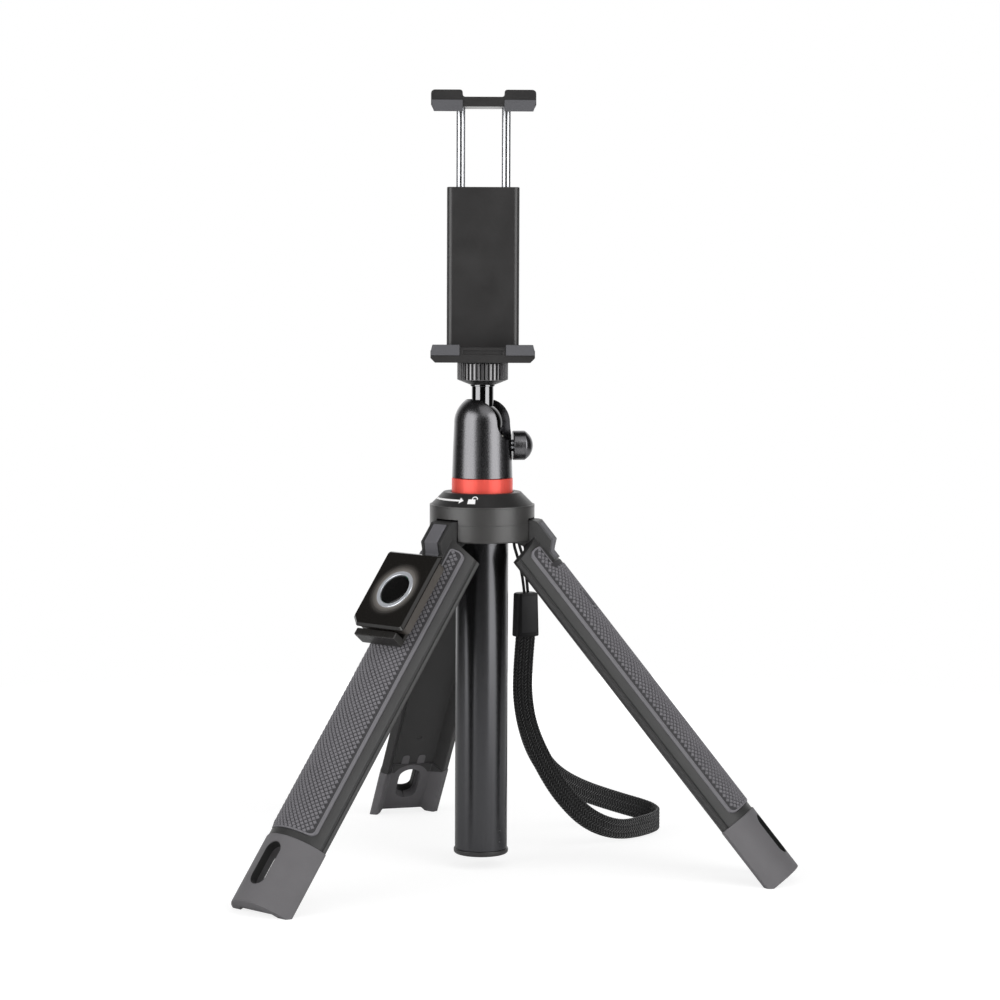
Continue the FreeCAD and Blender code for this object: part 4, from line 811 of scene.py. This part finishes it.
lugPath = [(-11.4, 104.0), (-16.5, 98.9), (-17, 98.9), (-17, 101.9), (-20, 104.3), (-20, 112.3), (-19.2, 113.3),
           (-16.3, 115.9), (-13, 116.66), (-9.7, 112.1), (-11.4, 108.2)]
insertPath = [(-19.5, 111.9), (-20.3, 111.5), (-20.3, 104.3), (-17.3, 101.6), (-17.3, 99.3), (-16.5, 99.3), (-16.5, 102.2),
              (-19.5, 104.6)]


def stud(bm, stand):
    # one blunt four-sided stud, its corners along and across the leg
    rings = []
    for size, out in ((pad["knobWide"], 0.02), (pad["knobTop"], -pad["knobTall"])):
        corners = [(size, 0), (0, size), (-size, 0), (0, -size)]
        rings.append([bm.verts.new(stand @ Vector((across, out, up))) for across, up in corners])
    low, high = rings
    for i in range(4):
        k = (i + 1) % 4
        bm.faces.new((low[i], low[k], high[k], high[i]))
    bm.faces.new(high)
    bm.faces.new(low[::-1])


def knobbed(bm):
    # rows of small blunt studs over the pad, square to its curved face
    outer = backRadius + pad["proud"]
    centre = backRadius - leg["crown"]
    edge = pad["rim"] + pad["knobWide"] * 0.7
    rows = int((pad["top"] - pad["foot"]) / (pad["along"] / 2))
    for row in range(rows):
        up = pad["foot"] + edge + row * pad["along"] / 2
        if up > pad["top"] - edge:
            continue
        count = int(pad["half"] / pad["across"]) + 1
        for k in range(-count, count + 1):
            along = (k + 0.5 * (row % 2)) * pad["across"]
            if abs(along) > pad["half"] - edge:
                continue
            corner = pad["half"] - edge - abs(along)
            high = pad["top"] - edge - up
            low = up - pad["foot"] - edge
            if min(high, low) + corner < pad["round"] * 0.6:
                continue
            if up > pad["fork"] - edge and abs(along) < pad["forkHalf"] + edge:
                continue
            if abs(along) < pad["dockHalf"] + 0.8 and abs(up - pad["dock"]) < pad["dockTall"] + pad["dockHalf"] + 0.8:
                continue
            turn = along / outer
            stand = (Matrix.Translation((0, centre, up)) @ Matrix.Rotation(turn, 4, "Z")
                     @ Matrix.Translation((0, -outer, 0)))
            stud(bm, stand)


boot = {"length": 24.5, "proud": 0.4, "side": 0.3, "slot": 3.15, "slotLow": -23.5, "slotHigh": -8.0, "window": 4,
        "liningOut": -17.0, "liningIn": -14.2, "tongue": (1.6, 4.3), "tongueHigh": -0.6, "arch": 6.6, "dip": -9.6}


def bootOutline(inset):
    back, inner, web, _ = legSection(boot["proud"] - inset, boot["side"] - inset)
    return rounded(back, [], inner, web, 0.7)


def uprightSlot(half, low, high, start, end):
    path = arc(0, high - half, half, 0, 180, 12) + arc(0, low + half, half, 180, 360, 12)
    return prism(path, start, end, "XZ")


def within(bm, face):
    return combine(bm, [prism(face, -30, -5, "XZ")], "INTERSECT")


shoulders = []
for side in (-1, 1):
    path = [(side * leg["lugHalf"], leg["shoulder"]), (side * leg["chord"], leg["corner"]), (side * 26, leg["corner"]),
            (side * 26, 112), (side * leg["lugHalf"], 112)]
    shoulders.append(prism(path, -30, 10, "XZ"))
recessTool = within(backSlice(-pad["sunk"], 3, 11, pad["foot"] - 3, pad["top"] + 3), padFace(0.12))
lugPlate = prism(lugPath, -leg["lugHalf"], leg["lugHalf"], "YZ")
knuckle = bar((-leg["lugHalf"], -pivotOut, pivotUp), (leg["lugHalf"], -pivotOut, pivotUp), 3.8)
insertTool = prism(insertPath, -leg["insertGap"], leg["insertGap"], "YZ")
markUp, markSize, markDeep = leg["mark"]
ejector = bar((0, leg["web"][1] - markDeep, markUp), (0, leg["web"][1] + 2, markUp), markSize, 32)
bore = bar((-6, -pivotOut, pivotUp), (6, -pivotOut, pivotUp), 1.25, 32)
shellShape = shaped(shaped(prism(shellPath, leg["foot"], leg["top"]), cuts=shoulders), joins=[lugPlate, knuckle],
                    cuts=[recessTool, insertTool, bore, dockTool(), ejector], bevel=0.12, clamp=False)
padShape = shaped(within(backSlice(-pad["sunk"], pad["proud"], pad["half"] + 0.5, pad["foot"] - 1, pad["top"] + 1, 40), padFace()),
                  cuts=[dockTool()], bevel=0.14, angle=40, clamp=False)
studShape = bmesh.new()
knobbed(studShape)
tidy(studShape, 0.00001)
# a thin dark sheet over the pad between the studs, painted shade in the gaps between them
studGapShade = combine(within(backSlice(pad["proud"] - 0.1, pad["proud"] + 0.03, 10.5, pad["foot"], pad["top"], 40),
                            padFace(-pad["margin"])), [dockTool(0.7)], "DIFFERENCE")
insertShape = shaped(prism(insertPath, -leg["insert"], leg["insert"], "YZ"), bevel=0.35, segments=3, angle=25, clamp=False)
ground = bmesh.new()
bmesh.ops.create_cube(ground, size=1)
bmesh.ops.transform(ground, matrix=Matrix.Translation((0, 0, -25)) @ Matrix.Diagonal((400, 400, 50, 1)), verts=ground.verts)
unsplay = (Matrix.Scale(1 / mm, 4) @ legPlace("a").inverted() @ Matrix.Scale(mm, 4))
bmesh.ops.transform(ground, verts=ground.verts, matrix=unsplay)
bootFoot = leg["foot"] - boot["length"]
bootBlock = stacked([(bootOutline(0.45), bootFoot), (bootOutline(0.13), bootFoot + 0.13), (bootOutline(0), bootFoot + 0.45),
                     (bootOutline(0), leg["foot"] - 0.35), (bootOutline(0.1), leg["foot"] - 0.1), (bootOutline(0.35), leg["foot"])])
bootShape = shaped(bootBlock, cuts=[
    ground, uprightSlot(boot["slot"], boot["slotLow"], boot["slotHigh"], -20, -9),
    uprightSlot(boot["window"], boot["slotLow"], boot["slotHigh"], -14, 0)])
tongueShape = bmesh.new()
for side in (-1, 1):
    inner, outer = boot["tongue"]
    made = prism(outline([(side * inner, leg["foot"] - 0.2), (side * outer, leg["foot"] - 0.2),
                          (side * outer, boot["tongueHigh"], 1.2), (side * inner, boot["tongueHigh"], 1.2)]),
                 leg["web"][1] - 0.3, leg["web"][1] + 0.12, "XZ")
    scrap = bpy.data.meshes.new("scrap")
    made.to_mesh(scrap)
    tongueShape.from_mesh(scrap)
    made.free()
    bpy.data.meshes.remove(scrap)


def shadeReachAt(across):
    # how low the painted shade reaches over the boot's inner face, beside the arch round the window
    arch = boot["slotHigh"] - boot["window"]
    reach = boot["arch"]
    if abs(across) < reach:
        return max(boot["dip"], min(leg["foot"], arch + math.sqrt(reach * reach - across * across)))
    web = leg["web"][0] - boot["proud"] / 2
    if abs(across) < web:
        return boot["dip"]
    side = leg["inner"][0] + boot["side"] * 0.8
    return boot["dip"] + (leg["foot"] - boot["dip"]) * min(1, (abs(across) - web) / (side - web))


# a thin sheet in the leg's dark colour laid over the boot's inner face: painted shade under the web, arched round the
# window
bootShadeSheet = bmesh.new()
webSide, webUp = leg["web"][0] - boot["proud"] / 2, leg["web"][1] + boot["proud"]
innerSide, innerUp = leg["inner"][0] + boot["side"] * 0.8, leg["inner"][1] + boot["side"] * 0.58
line = [(webSide * k / 24, webUp) for k in range(25)]
line += [(webSide + (innerSide - webSide) * k / 8 * 0.93, webUp + (innerUp - webUp) * k / 8 * 0.93) for k in range(1, 9)]
for side in (-1, 1):
    rims = [(bootShadeSheet.verts.new((side * x, y, shadeReachAt(x))), bootShadeSheet.verts.new((side * x, y, leg["foot"] + 0.05)))
            for x, y in line if shadeReachAt(x) < leg["foot"] - 0.05]
    for (a, b), (c, d) in zip(rims, rims[1:]):
        bootShadeSheet.faces.new((a, c, d, b))
bmesh.ops.recalc_face_normals(bootShadeSheet, faces=bootShadeSheet.faces)
for vert in bootShadeSheet.verts:
    vert.normal_update()
if bootShadeSheet.verts[:][0].normal.y < 0:
    bmesh.ops.reverse_faces(bootShadeSheet, faces=bootShadeSheet.faces)
bmesh.ops.solidify(bootShadeSheet, geom=bootShadeSheet.faces, thickness=-0.06)
# a thin near-black sleeve inside each boot's slot, painted shade on the slot's inner walls
lining = uprightSlot(boot["slot"] + 0.05, boot["slotLow"] - 0.05, boot["slotHigh"] + 0.05, boot["liningOut"], boot["liningIn"])
liningShape = shaped(lining, cuts=[
    uprightSlot(boot["slot"] - 0.2, boot["slotLow"] + 0.2, boot["slotHigh"] - 0.2, -20, 0)])
for letter in legTurns:
    place = legPlace(letter)
    dress(f"leg_shell_{letter}", shellShape.copy(), "leg", place=place)
    dress(f"grip_pad_{letter}", padShape.copy(), "pad", place=place)
    piece(f"grip_studs_{letter}", studShape.copy(), "pad", f"leg_{letter}", place=place, stands=False, slot="pad_rubber", angle=20)
    piece(f"grip_floor_{letter}", studGapShade.copy(), "gripPaintedShade", f"leg_{letter}", place=place, stands=False, slot="pad_rubber")
    dress(f"lug_insert_{letter}", insertShape.copy(), "insert", place=place)
    dress(f"boot_{letter}", bootShape.copy(), "boot", place=place)
    piece(f"boot_lining_{letter}", liningShape.copy(), "dark", f"leg_{letter}", place=place, stands=False, slot=slotOf[f"leg_shell_{letter}"])
    piece(f"boot_tongues_{letter}", tongueShape.copy(), "boot", f"leg_{letter}", place=place, stands=False, slot=slotOf[f"boot_{letter}"])
    piece(f"boot_dips_{letter}", bootShadeSheet.copy(), "leg", f"leg_{letter}", place=place, stands=False,
          slot=slotOf[f"leg_shell_{letter}"])
    print("leg", letter, "made")


# Remote, docked on leg a

remote = {"drop": 31, "face": (24, 29), "faceThick": 1.2, "faceOut": 24.1, "notch": 3, "bevel": 0.75, "case": (21.6, 26.6),
          "caseBack": 18.7, "caseRound": 1.5, "bezel": 14, "bezelBore": 11.2, "bezelProud": 0.2, "button": 10.6,
          "buttonThick": 0.7, "buttonProud": 0.1, "dish": 9.6, "dishDeep": 0.5, "wall": 1.2, "cradle": 18,
          "cradleBack": 17.45, "cradleLip": 2.6, "cradleOut": 22.6}
remoteUp = pivotUp - remote["drop"]
faceBack = remote["faceOut"] - remote["faceThick"]
remotePlace = legPlace("a")
faceSide, faceHalf = remote["face"][0] / 2, remote["face"][1] / 2


def disc(radius, back, front, steps=96):
    return bar((0, -back, remoteUp), (0, -front, remoteUp), radius, steps)


def rimmed(profile, steps=96):
    # a profile of (radius, height out of the leg) turned about the remote's axis
    bm = lathe(profile, steps, closed=profile[0][0] > 0)
    bmesh.ops.transform(bm, verts=bm.verts,
                        matrix=Matrix.Translation((0, 0, remoteUp)) @ Matrix.Rotation(math.radians(90), 4, "X"))
    return bm


dishSphere = (remote["dish"] ** 2 + remote["dishDeep"] ** 2) / (2 * remote["dishDeep"])
bezelHole = remote["bezel"] / 2 + 0.02
inward, outward = (math.degrees(math.asin(r / dishSphere)) for r in (bezelHole, remote["dish"] + 0.3))
dishTool = rimmed([Vector((0, faceBack - 1)), Vector((bezelHole, faceBack - 1))]
                  + arc(0, remote["faceOut"] - remote["dishDeep"] + dishSphere, dishSphere, -90 + inward, -90 + outward, 8)
                  + [Vector((remote["dish"] + 0.3, remote["faceOut"] + 1)), Vector((0, remote["faceOut"] + 1))])


def faceOutline(inset):
    side, low, high = faceSide - inset, remoteUp - faceHalf + inset, remoteUp + faceHalf - inset
    notch = remote["notch"] - inset * 0.4
    return outline([(-side, low + notch, 0.6), (-side + notch, low, 0.6), (side, low, 0.8), (side, high, 0.8), (-side, high, 0.8)])


def paintedReflectionPlate(middle, facing):
    # the gloss of the plate, hazier in the dish round the ring, with a painted reflection: the plate's colour is paler
    # near the ring
    shader = Shader("remotePlate")
    place = shader.node("VectorMath", {"operation": "SUBTRACT"}, {0: shader.place(), 1: middle})
    away = shader.node("VectorMath", {"operation": "CROSS_PRODUCT"}, {0: place, 1: facing})
    away = shader.node("VectorMath", {"operation": "LENGTH"}, {0: away}, "Value")
    ring = shader.band(away, remote["bezel"] / 2 * mm, remote["dish"] * 1.08 * mm, 1, 0)
    smear = shader.noise(120, 3)
    shader.set(Base_Color=shader.tint(ring * ring, (0.012, 0.011, 0.010), (0.20, 0.185, 0.17)), Specular_IOR_Level=0.55)
    shader.set(Roughness=shader.band(smear, 0.35, 0.7, 0.13, 0.19) + ring * 0.2)
    return shader.material


finish["gloss"] = paintedReflectionPlate(remotePlace @ (Vector((0, -remote["faceOut"], remoteUp)) * mm), remotePlace.to_3x3() @ Vector((0, -1, 0)))
facePlate = stacked([(faceOutline(0), -faceBack), (faceOutline(0), remote["bevel"] - remote["faceOut"]),
                     (faceOutline(remote["bevel"]), -remote["faceOut"])], "XZ")
dress("remote_face", facePlate, "gloss", place=remotePlace,
      cuts=[dishTool])

bezelFront = remote["faceOut"] + remote["bezelProud"] - 0.12
dress("remote_bezel", rimmed(outline([
    (remote["bezelBore"] / 2, faceBack), (remote["bezel"] / 2, faceBack), (remote["bezel"] / 2, bezelFront, 0.25),
    (remote["bezelBore"] / 2, bezelFront, 0.25)])), "silver", place=remotePlace)
buttonFront = remote["faceOut"] + remote["buttonProud"]
buttonRadius = remote["button"] / 2
bulgeSphere = (buttonRadius ** 2 + 0.1 ** 2) / 0.2
lean = math.degrees(math.asin((buttonRadius - 0.2) / bulgeSphere))
dress("remote_button", rimmed([Vector((0, buttonFront - remote["buttonThick"])),
                               Vector((buttonRadius, buttonFront - remote["buttonThick"])),
                               Vector((buttonRadius, buttonFront - 0.2))]
                              + arc(0, buttonFront - bulgeSphere, bulgeSphere, 90 - lean, 90, 10)), "disc", place=remotePlace)


def block(size, low, high, rounding=None):
    across, up = size[0] / 2, size[1] / 2
    corners = [(-across, remoteUp - up), (across, remoteUp - up), (across, remoteUp + up), (-across, remoteUp + up)]
    if rounding:
        corners = [(*c, rounding) for c in corners]
    return prism(outline(corners), -high, -low, "XZ")


hollow = (remote["case"][0] - 2 * remote["wall"], remote["case"][1] - 2 * remote["wall"])
dress("remote_case", block(remote["case"], remote["caseBack"], faceBack, remote["caseRound"]), "side", place=remotePlace,
      cuts=[block(hollow, remote["caseBack"] + remote["wall"], faceBack + 1)], bevel=0.25, segments=3, angle=30)
footUp = remoteUp - faceHalf
cradleHalf = remote["cradle"] / 2
lip = shaped(box((-cradleHalf, -remote["cradleOut"], footUp - remote["cradleLip"] - 0.3), (cradleHalf, -remote["cradleBack"], footUp - 0.3)),
             cuts=[box((-cradleHalf + 2, 1.6 - remote["cradleOut"], footUp - 1.1), (cradleHalf - 2, 2.6 - remote["cradleOut"], footUp))],
             bevel=0.9, segments=5, angle=60)
dress("remote_cradle", block((remote["cradle"], remote["face"][1] - 4), remote["cradleBack"], remote["caseBack"] - 0.1),
      "cradle", place=remotePlace, joins=[lip,
          box((-cradleHalf, -remote["caseBack"] + 0.1, footUp - 0.4), (cradleHalf, -remote["cradleBack"], footUp + 4))],
      bevel=0.45, segments=3, angle=30)
print("remote made")


# Wrist strap: a cord loop through the eyelet, a tab, and a flat braid

cordPoints = [(15.6, 18.4, 90.5), (15.1, 17.3, 97), (13.7, 14.7, 103.5), (12.5, 12.3, 107.4), (12.3, 12.1, 109.5),
              (10.9, 10.7, 109.5), (10.7, 10.5, 107.4), (11.9, 12.3, 103.5), (13.7, 15.6, 97), (14.4, 17.4, 90.5)]
strapPoints = [(14.9, 17.0, 75.5), (13.9, 17.5, 63.5), (14.0, 18.5, 53), (16.5, 20.5, 41.5), (22.5, 24, 28.5),
               (28.8, 27.3, 18.5), (37.3, 31.8, 9.5), (47.5, 38.5, 4.6), (57.3, 48.5, 4.3), (64.0, 60.0, 4.6),
               (61.0, 68.5, 5.6), (47, 63, 10.5), (34.5, 52.5, 16.5), (25.5, 41, 23.5), (20.0, 32, 31.5),
               (16.2, 25.8, 41.5), (14.2, 22.2, 52), (13.9, 20.2, 63), (14.9, 19.2, 75.5)]
strapLay = [(0.86, 0.5, 0), (0.86, 0.5, 0), (0.86, 0.5, 0), (0.8, 0.5, 0.25), (0.7, 0.4, 0.5), (0.6, 0.3, 0.7),
            (0.4, 0, 0.9), (0.1, -0.3, 0.95), (0, -0.1, 1), (0, 0, 1), (0, 0, 1), (0, 0, 1), (0.1, -0.1, 1),
            (0.3, 0, 0.9), (0.5, 0.2, 0.7), (0.7, 0.4, 0.3), (0.86, 0.5, 0), (0.86, 0.5, 0), (0.86, 0.5, 0)]


def routeCurve(name, points, fine):
    # one smooth line with the given points as its control points
    curve = bpy.data.curves.new(name, "CURVE")
    curve.dimensions = "3D"
    curve.resolution_u = fine
    spline = curve.splines.new("NURBS")
    spline.points.add(len(points) - 1)
    for point, place in zip(spline.points, points):
        point.co = (*(Vector(place) * mm), 1)
    spline.order_u = 3
    spline.use_endpoint_u = True
    made = bpy.data.objects.new(name, curve)
    scene.collection.objects.link(made)
    return made


def routeLine(points, fine=24):
    # the same line as a list of places along it
    line = routeCurve("route", points, fine)
    bpy.context.view_layer.update()
    mesh = bpy.data.meshes.new_from_object(line)
    places = [v.co.copy() for v in mesh.vertices]
    bpy.data.objects.remove(line)
    return places


def runOf(places):
    run = [0]
    for a, b in zip(places, places[1:]):
        run.append(run[-1] + (b - a).length)
    return run


cordPiece = routeCurve("strap_cord_finished", cordPoints, 8)
cordPiece.data.bevel_depth = 0.5 * mm
cordPiece.data.bevel_resolution = 5
cordPiece.data.use_fill_caps = True
cordPiece.data.materials.append(finish["cord"])
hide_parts("strap_cord")
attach(cordPiece, "root")
cordRun = runOf(routeLine(cordPoints))[-1]

strap = {"width": 7.5, "thick": 1.3, "relief": 0.2, "around": 64, "step": 0.25, "ribs": 6, "pitch": 6.4}
places = routeLine(strapPoints)
run = runOf(places)
strapRun = run[-1]
knots = [min(range(len(places)), key=lambda i: (places[i] - Vector(p) * mm).length) for p in strapPoints]
knots = [sorted(knots)[i] for i in range(len(knots))]
for i in range(1, len(knots)):
    knots[i] = max(knots[i], knots[i - 1] + 1)


def strapStation(way):
    # place, direction and width direction at a share of the strap's length
    target = way * strapRun
    i = max(1, min(len(run) - 1, next((k for k, r in enumerate(run) if r >= target), len(run) - 1)))
    part = (target - run[i - 1]) / (run[i] - run[i - 1])
    place = places[i - 1].lerp(places[i], part)
    ahead = (places[min(i + 2, len(places) - 1)] - places[max(i - 3, 0)]).normalized()
    at = i - 1 + part
    j = max(0, min(len(knots) - 2, next((k for k in range(len(knots) - 1) if at < knots[k + 1]), len(knots) - 2)))
    share = (at - knots[j]) / (knots[j + 1] - knots[j])
    share = share * share * (3 - 2 * share)
    lay = Vector(strapLay[j]).lerp(Vector(strapLay[j + 1]), share)
    across = (lay - ahead * lay.dot(ahead)).normalized()
    return place, across, ahead.cross(across).normalized()


def strapEdge(t):
    # the strap's outline: a stadium, even along its rim, with its outward direction
    flatHalf = (strap["width"] - strap["thick"]) / 2
    round_ = strap["thick"] / 2
    rim = 4 * flatHalf + 2 * math.pi * round_
    at = (t % 1) * rim
    if at < 2 * flatHalf:
        return Vector((flatHalf - at, round_)), Vector((0, 1))
    at -= 2 * flatHalf
    if at < math.pi * round_:
        a = math.pi / 2 + at / round_
        return Vector((-flatHalf + round_ * math.cos(a), round_ * math.sin(a))), Vector((math.cos(a), math.sin(a)))
    at -= math.pi * round_
    if at < 2 * flatHalf:
        return Vector((-flatHalf + at, -round_)), Vector((0, -1))
    a = -math.pi / 2 + (at - 2 * flatHalf) / round_
    return Vector((flatHalf + round_ * math.cos(a), round_ * math.sin(a))), Vector((math.cos(a), math.sin(a)))


def braid(across, along):
    # height of the herringbone braid, the same rule that the weave's material follows
    column = across * strap["ribs"]
    inside = column - math.floor(column)
    side = 1 if math.floor(column) % 2 else -1
    yarn = along * strap["pitch"] + inside * side * 0.9
    yarn -= math.floor(yarn)
    fold = abs(inside - 0.5)
    return math.sin(yarn * math.pi) * (1 - fold * fold * 2.6)


def strapMesh():
    rows = int(strapRun / mm / strap["step"])
    bm = bmesh.new()
    bmesh.ops.create_grid(bm, x_segments=strap["around"], y_segments=rows, size=0.5, calc_uvs=True)
    layer = bm.loops.layers.uv.verify()
    stations = {}
    places = {}
    for vert in bm.verts:
        t, way = vert.co.x + 0.5, vert.co.y + 0.5
        key = round(way * rows)
        if key not in stations:
            stations[key] = strapStation(way)
        spot, outward = strapEdge(t)
        places[vert] = (spot.x / strap["width"] + 0.5, way * strapRun / mm / strap["width"])
        height = (braid(*places[vert]) - 0.5) * strap["relief"]
        place, across, flat = stations[key]
        spot = spot + outward * height
        vert.co = place / mm + across * spot.x + flat * spot.y
    for face in bm.faces:
        for loop in face.loops:
            loop[layer].uv = places[loop.vert]
    bmesh.ops.remove_doubles(bm, verts=bm.verts, dist=0.0005)
    rims = [e for e in bm.edges if e.is_boundary]
    bmesh.ops.holes_fill(bm, edges=rims)
    bmesh.ops.recalc_face_normals(bm, faces=bm.faces)
    return bm


strapPiece = meshObject("wrist_strap_finished", strapMesh())
strapPiece.data.transform(Matrix.Scale(mm, 4))
strapPiece.data.polygons.foreach_set("use_smooth", [True] * len(strapPiece.data.polygons))
strapPiece.data.materials.append(finish["weave"])
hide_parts("wrist_strap")
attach(strapPiece, "root")
print("cord", round(cordRun / mm, 1), "strap", round(strapRun / mm, 1))

tab = {"centre": (14.9, 18.1), "foot": 75.5, "top": 90.5, "half": 4.25, "deep": 2.5, "round": 1.2, "turn": 30, "panel": 2.9, "taper": 0.45,
       "panelFoot": 77, "panelTop": 89.4}
tabPlace = (Matrix.Translation(Vector((*tab["centre"], 0)) * mm) @ Matrix.Rotation(math.radians(tab["turn"]), 4, "Z"))


def tabOutline(inset, narrow=0):
    across, deep = tab["half"] - inset - narrow, tab["deep"] - inset
    return outline([(-across, -deep, tab["round"]), (across, -deep, tab["round"]), (across, deep, tab["round"]),
                    (-across, deep, tab["round"])])


tabBlock = stacked([(tabOutline(0.5), tab["foot"]), (tabOutline(0.12), tab["foot"] + 0.15), (tabOutline(0), tab["foot"] + 0.5),
                    (tabOutline(0, tab["taper"]), tab["top"] - 0.7), (tabOutline(0.15, tab["taper"]), tab["top"] - 0.25),
                    (tabOutline(0.6, tab["taper"]), tab["top"])])
dress("strap_tab", tabBlock, "tab", place=tabPlace)
panels = bmesh.new()
for side in (-1, 1):
    made = bmesh.ops.create_cube(panels, size=1)["verts"]
    bmesh.ops.transform(panels, verts=made, matrix=Matrix.Translation((
        0, side * (tab["deep"] - 0.02), (tab["panelFoot"] + tab["panelTop"]) / 2))
        @ Matrix.Diagonal((2 * tab["panel"], 0.1, tab["panelTop"] - tab["panelFoot"], 1)))
piece("tab_panels", panels, "tabFace", "root", place=tabPlace, bevel=0.04, stands=False, slot="strap_leather")
print("strap made")


# The frame's own pieces that keep their shape

kept = {"hinge_pins": "steel", "strap_eyelet": "steel", "stud_plug": "steel", "head_stud": "steel", "knob_screw": "steel",
        "clamp_springs": "steel", "remote_battery": "steel", "lock_collet": "nylon", "ball_seat": "nylon",
        "remote_board": "board"}
for step in range(1, 6):
    kept[f"tube_section_{step}"] = "column"
    kept[f"slide_shim_{step}"] = "nylon"
for node, look in kept.items():
    for holder in frame["nodes"][node].material_slots:
        holder.material = finish[look]


# Floor, room and lamps

stage = {"floor": 0.46, "fadeStart": 0.17, "fadeEnd": 0.42, "glow": 0.6, "strength": 1.32, "floorTone": 0.9}
ground = bmesh.new()
bmesh.ops.create_circle(ground, cap_ends=True, segments=96, radius=stage["floor"] / mm)
floorPiece = meshObject("studioFloor", ground)
floorPiece.data.transform(Matrix.Scale(mm, 4))
paper = Shader("paper")
paper.set(Base_Color=(stage["floorTone"],) * 3, Roughness=0.9, Specular_IOR_Level=0.1)
away = paper.node("VectorMath", {"operation": "LENGTH"}, {0: paper.place()}, "Value")
fade = paper.band(away, stage["fadeStart"], stage["fadeEnd"], stage["glow"], 1)
seen = paper.node("LightPath", output="Is Camera Ray")
glow = paper.node("Emission", {}, {"Color": (1, 1, 1, 1), "Strength": stage["strength"]})
sheet = Value(paper, paper.surface.outputs[0])
mixed = paper.node("MixShader", {}, {0: fade * seen, 1: sheet, 2: glow})
paper.put(paper.tree.nodes["Material Output"].inputs[0], mixed)
floorPiece.data.materials.append(paper.material)

room = {"front": 0.01, "side": 0.12, "back": 1.3, "fill": 0.3}
world = bpy.data.worlds.new("room")
scene.world = world
world.use_nodes = True
sky = Shader("room", world.node_tree)
direction = sky.node("TexCoord", output="Generated")
depth = sky.node("SeparateXYZ", {}, {0: direction}, 1)
shine = sky.band(depth, 0.5, 0.9, room["front"], room["back"])
rays = sky.node("LightPath")
camRay = Value(sky, rays.socket.node.outputs["Is Camera Ray"])
glossRay = Value(sky, rays.socket.node.outputs["Is Glossy Ray"])
clearRay = Value(sky, rays.socket.node.outputs["Is Transmission Ray"])
white = (camRay + clearRay).calc("MINIMUM", 1)
level = white + (1 - white) * (glossRay * shine + (1 - glossRay) * room["fill"])
background = world.node_tree.nodes["Background"]
background.inputs["Color"].default_value = (1, 1, 1, 1)
sky.put(background.inputs["Strength"], level)


def softbox(name, azimuth, spread, height, power, distance=1.3, up=0.35, tone=(1, 1, 1)):
    # a tall lamp whose middle stands at an azimuth from the camera's side of the object
    lamp = bpy.data.lights.new(name, "AREA")
    lamp.shape = "RECTANGLE"
    lamp.size = 2 * distance * math.tan(math.radians(spread / 2))
    lamp.size_y = height
    lamp.energy = power * lamp.size * height
    lamp.color = tone
    made = bpy.data.objects.new(name, lamp)
    angle = math.radians(azimuth)
    place = Vector((math.sin(angle) * distance, -math.cos(angle) * distance, up))
    made.matrix_world = Matrix.Translation(place) @ (place - Vector((0, 0, 0.12))).to_track_quat("Z", "Y").to_matrix().to_4x4()
    scene.collection.objects.link(made)


softbox("leftBox", -52, 50, 1.5, 8.5)
softbox("rightBox", 51, 42, 1.5, 9)
softbox("topBox", 20, 60, 1.2, 3.0, distance=0.9, up=1.3)
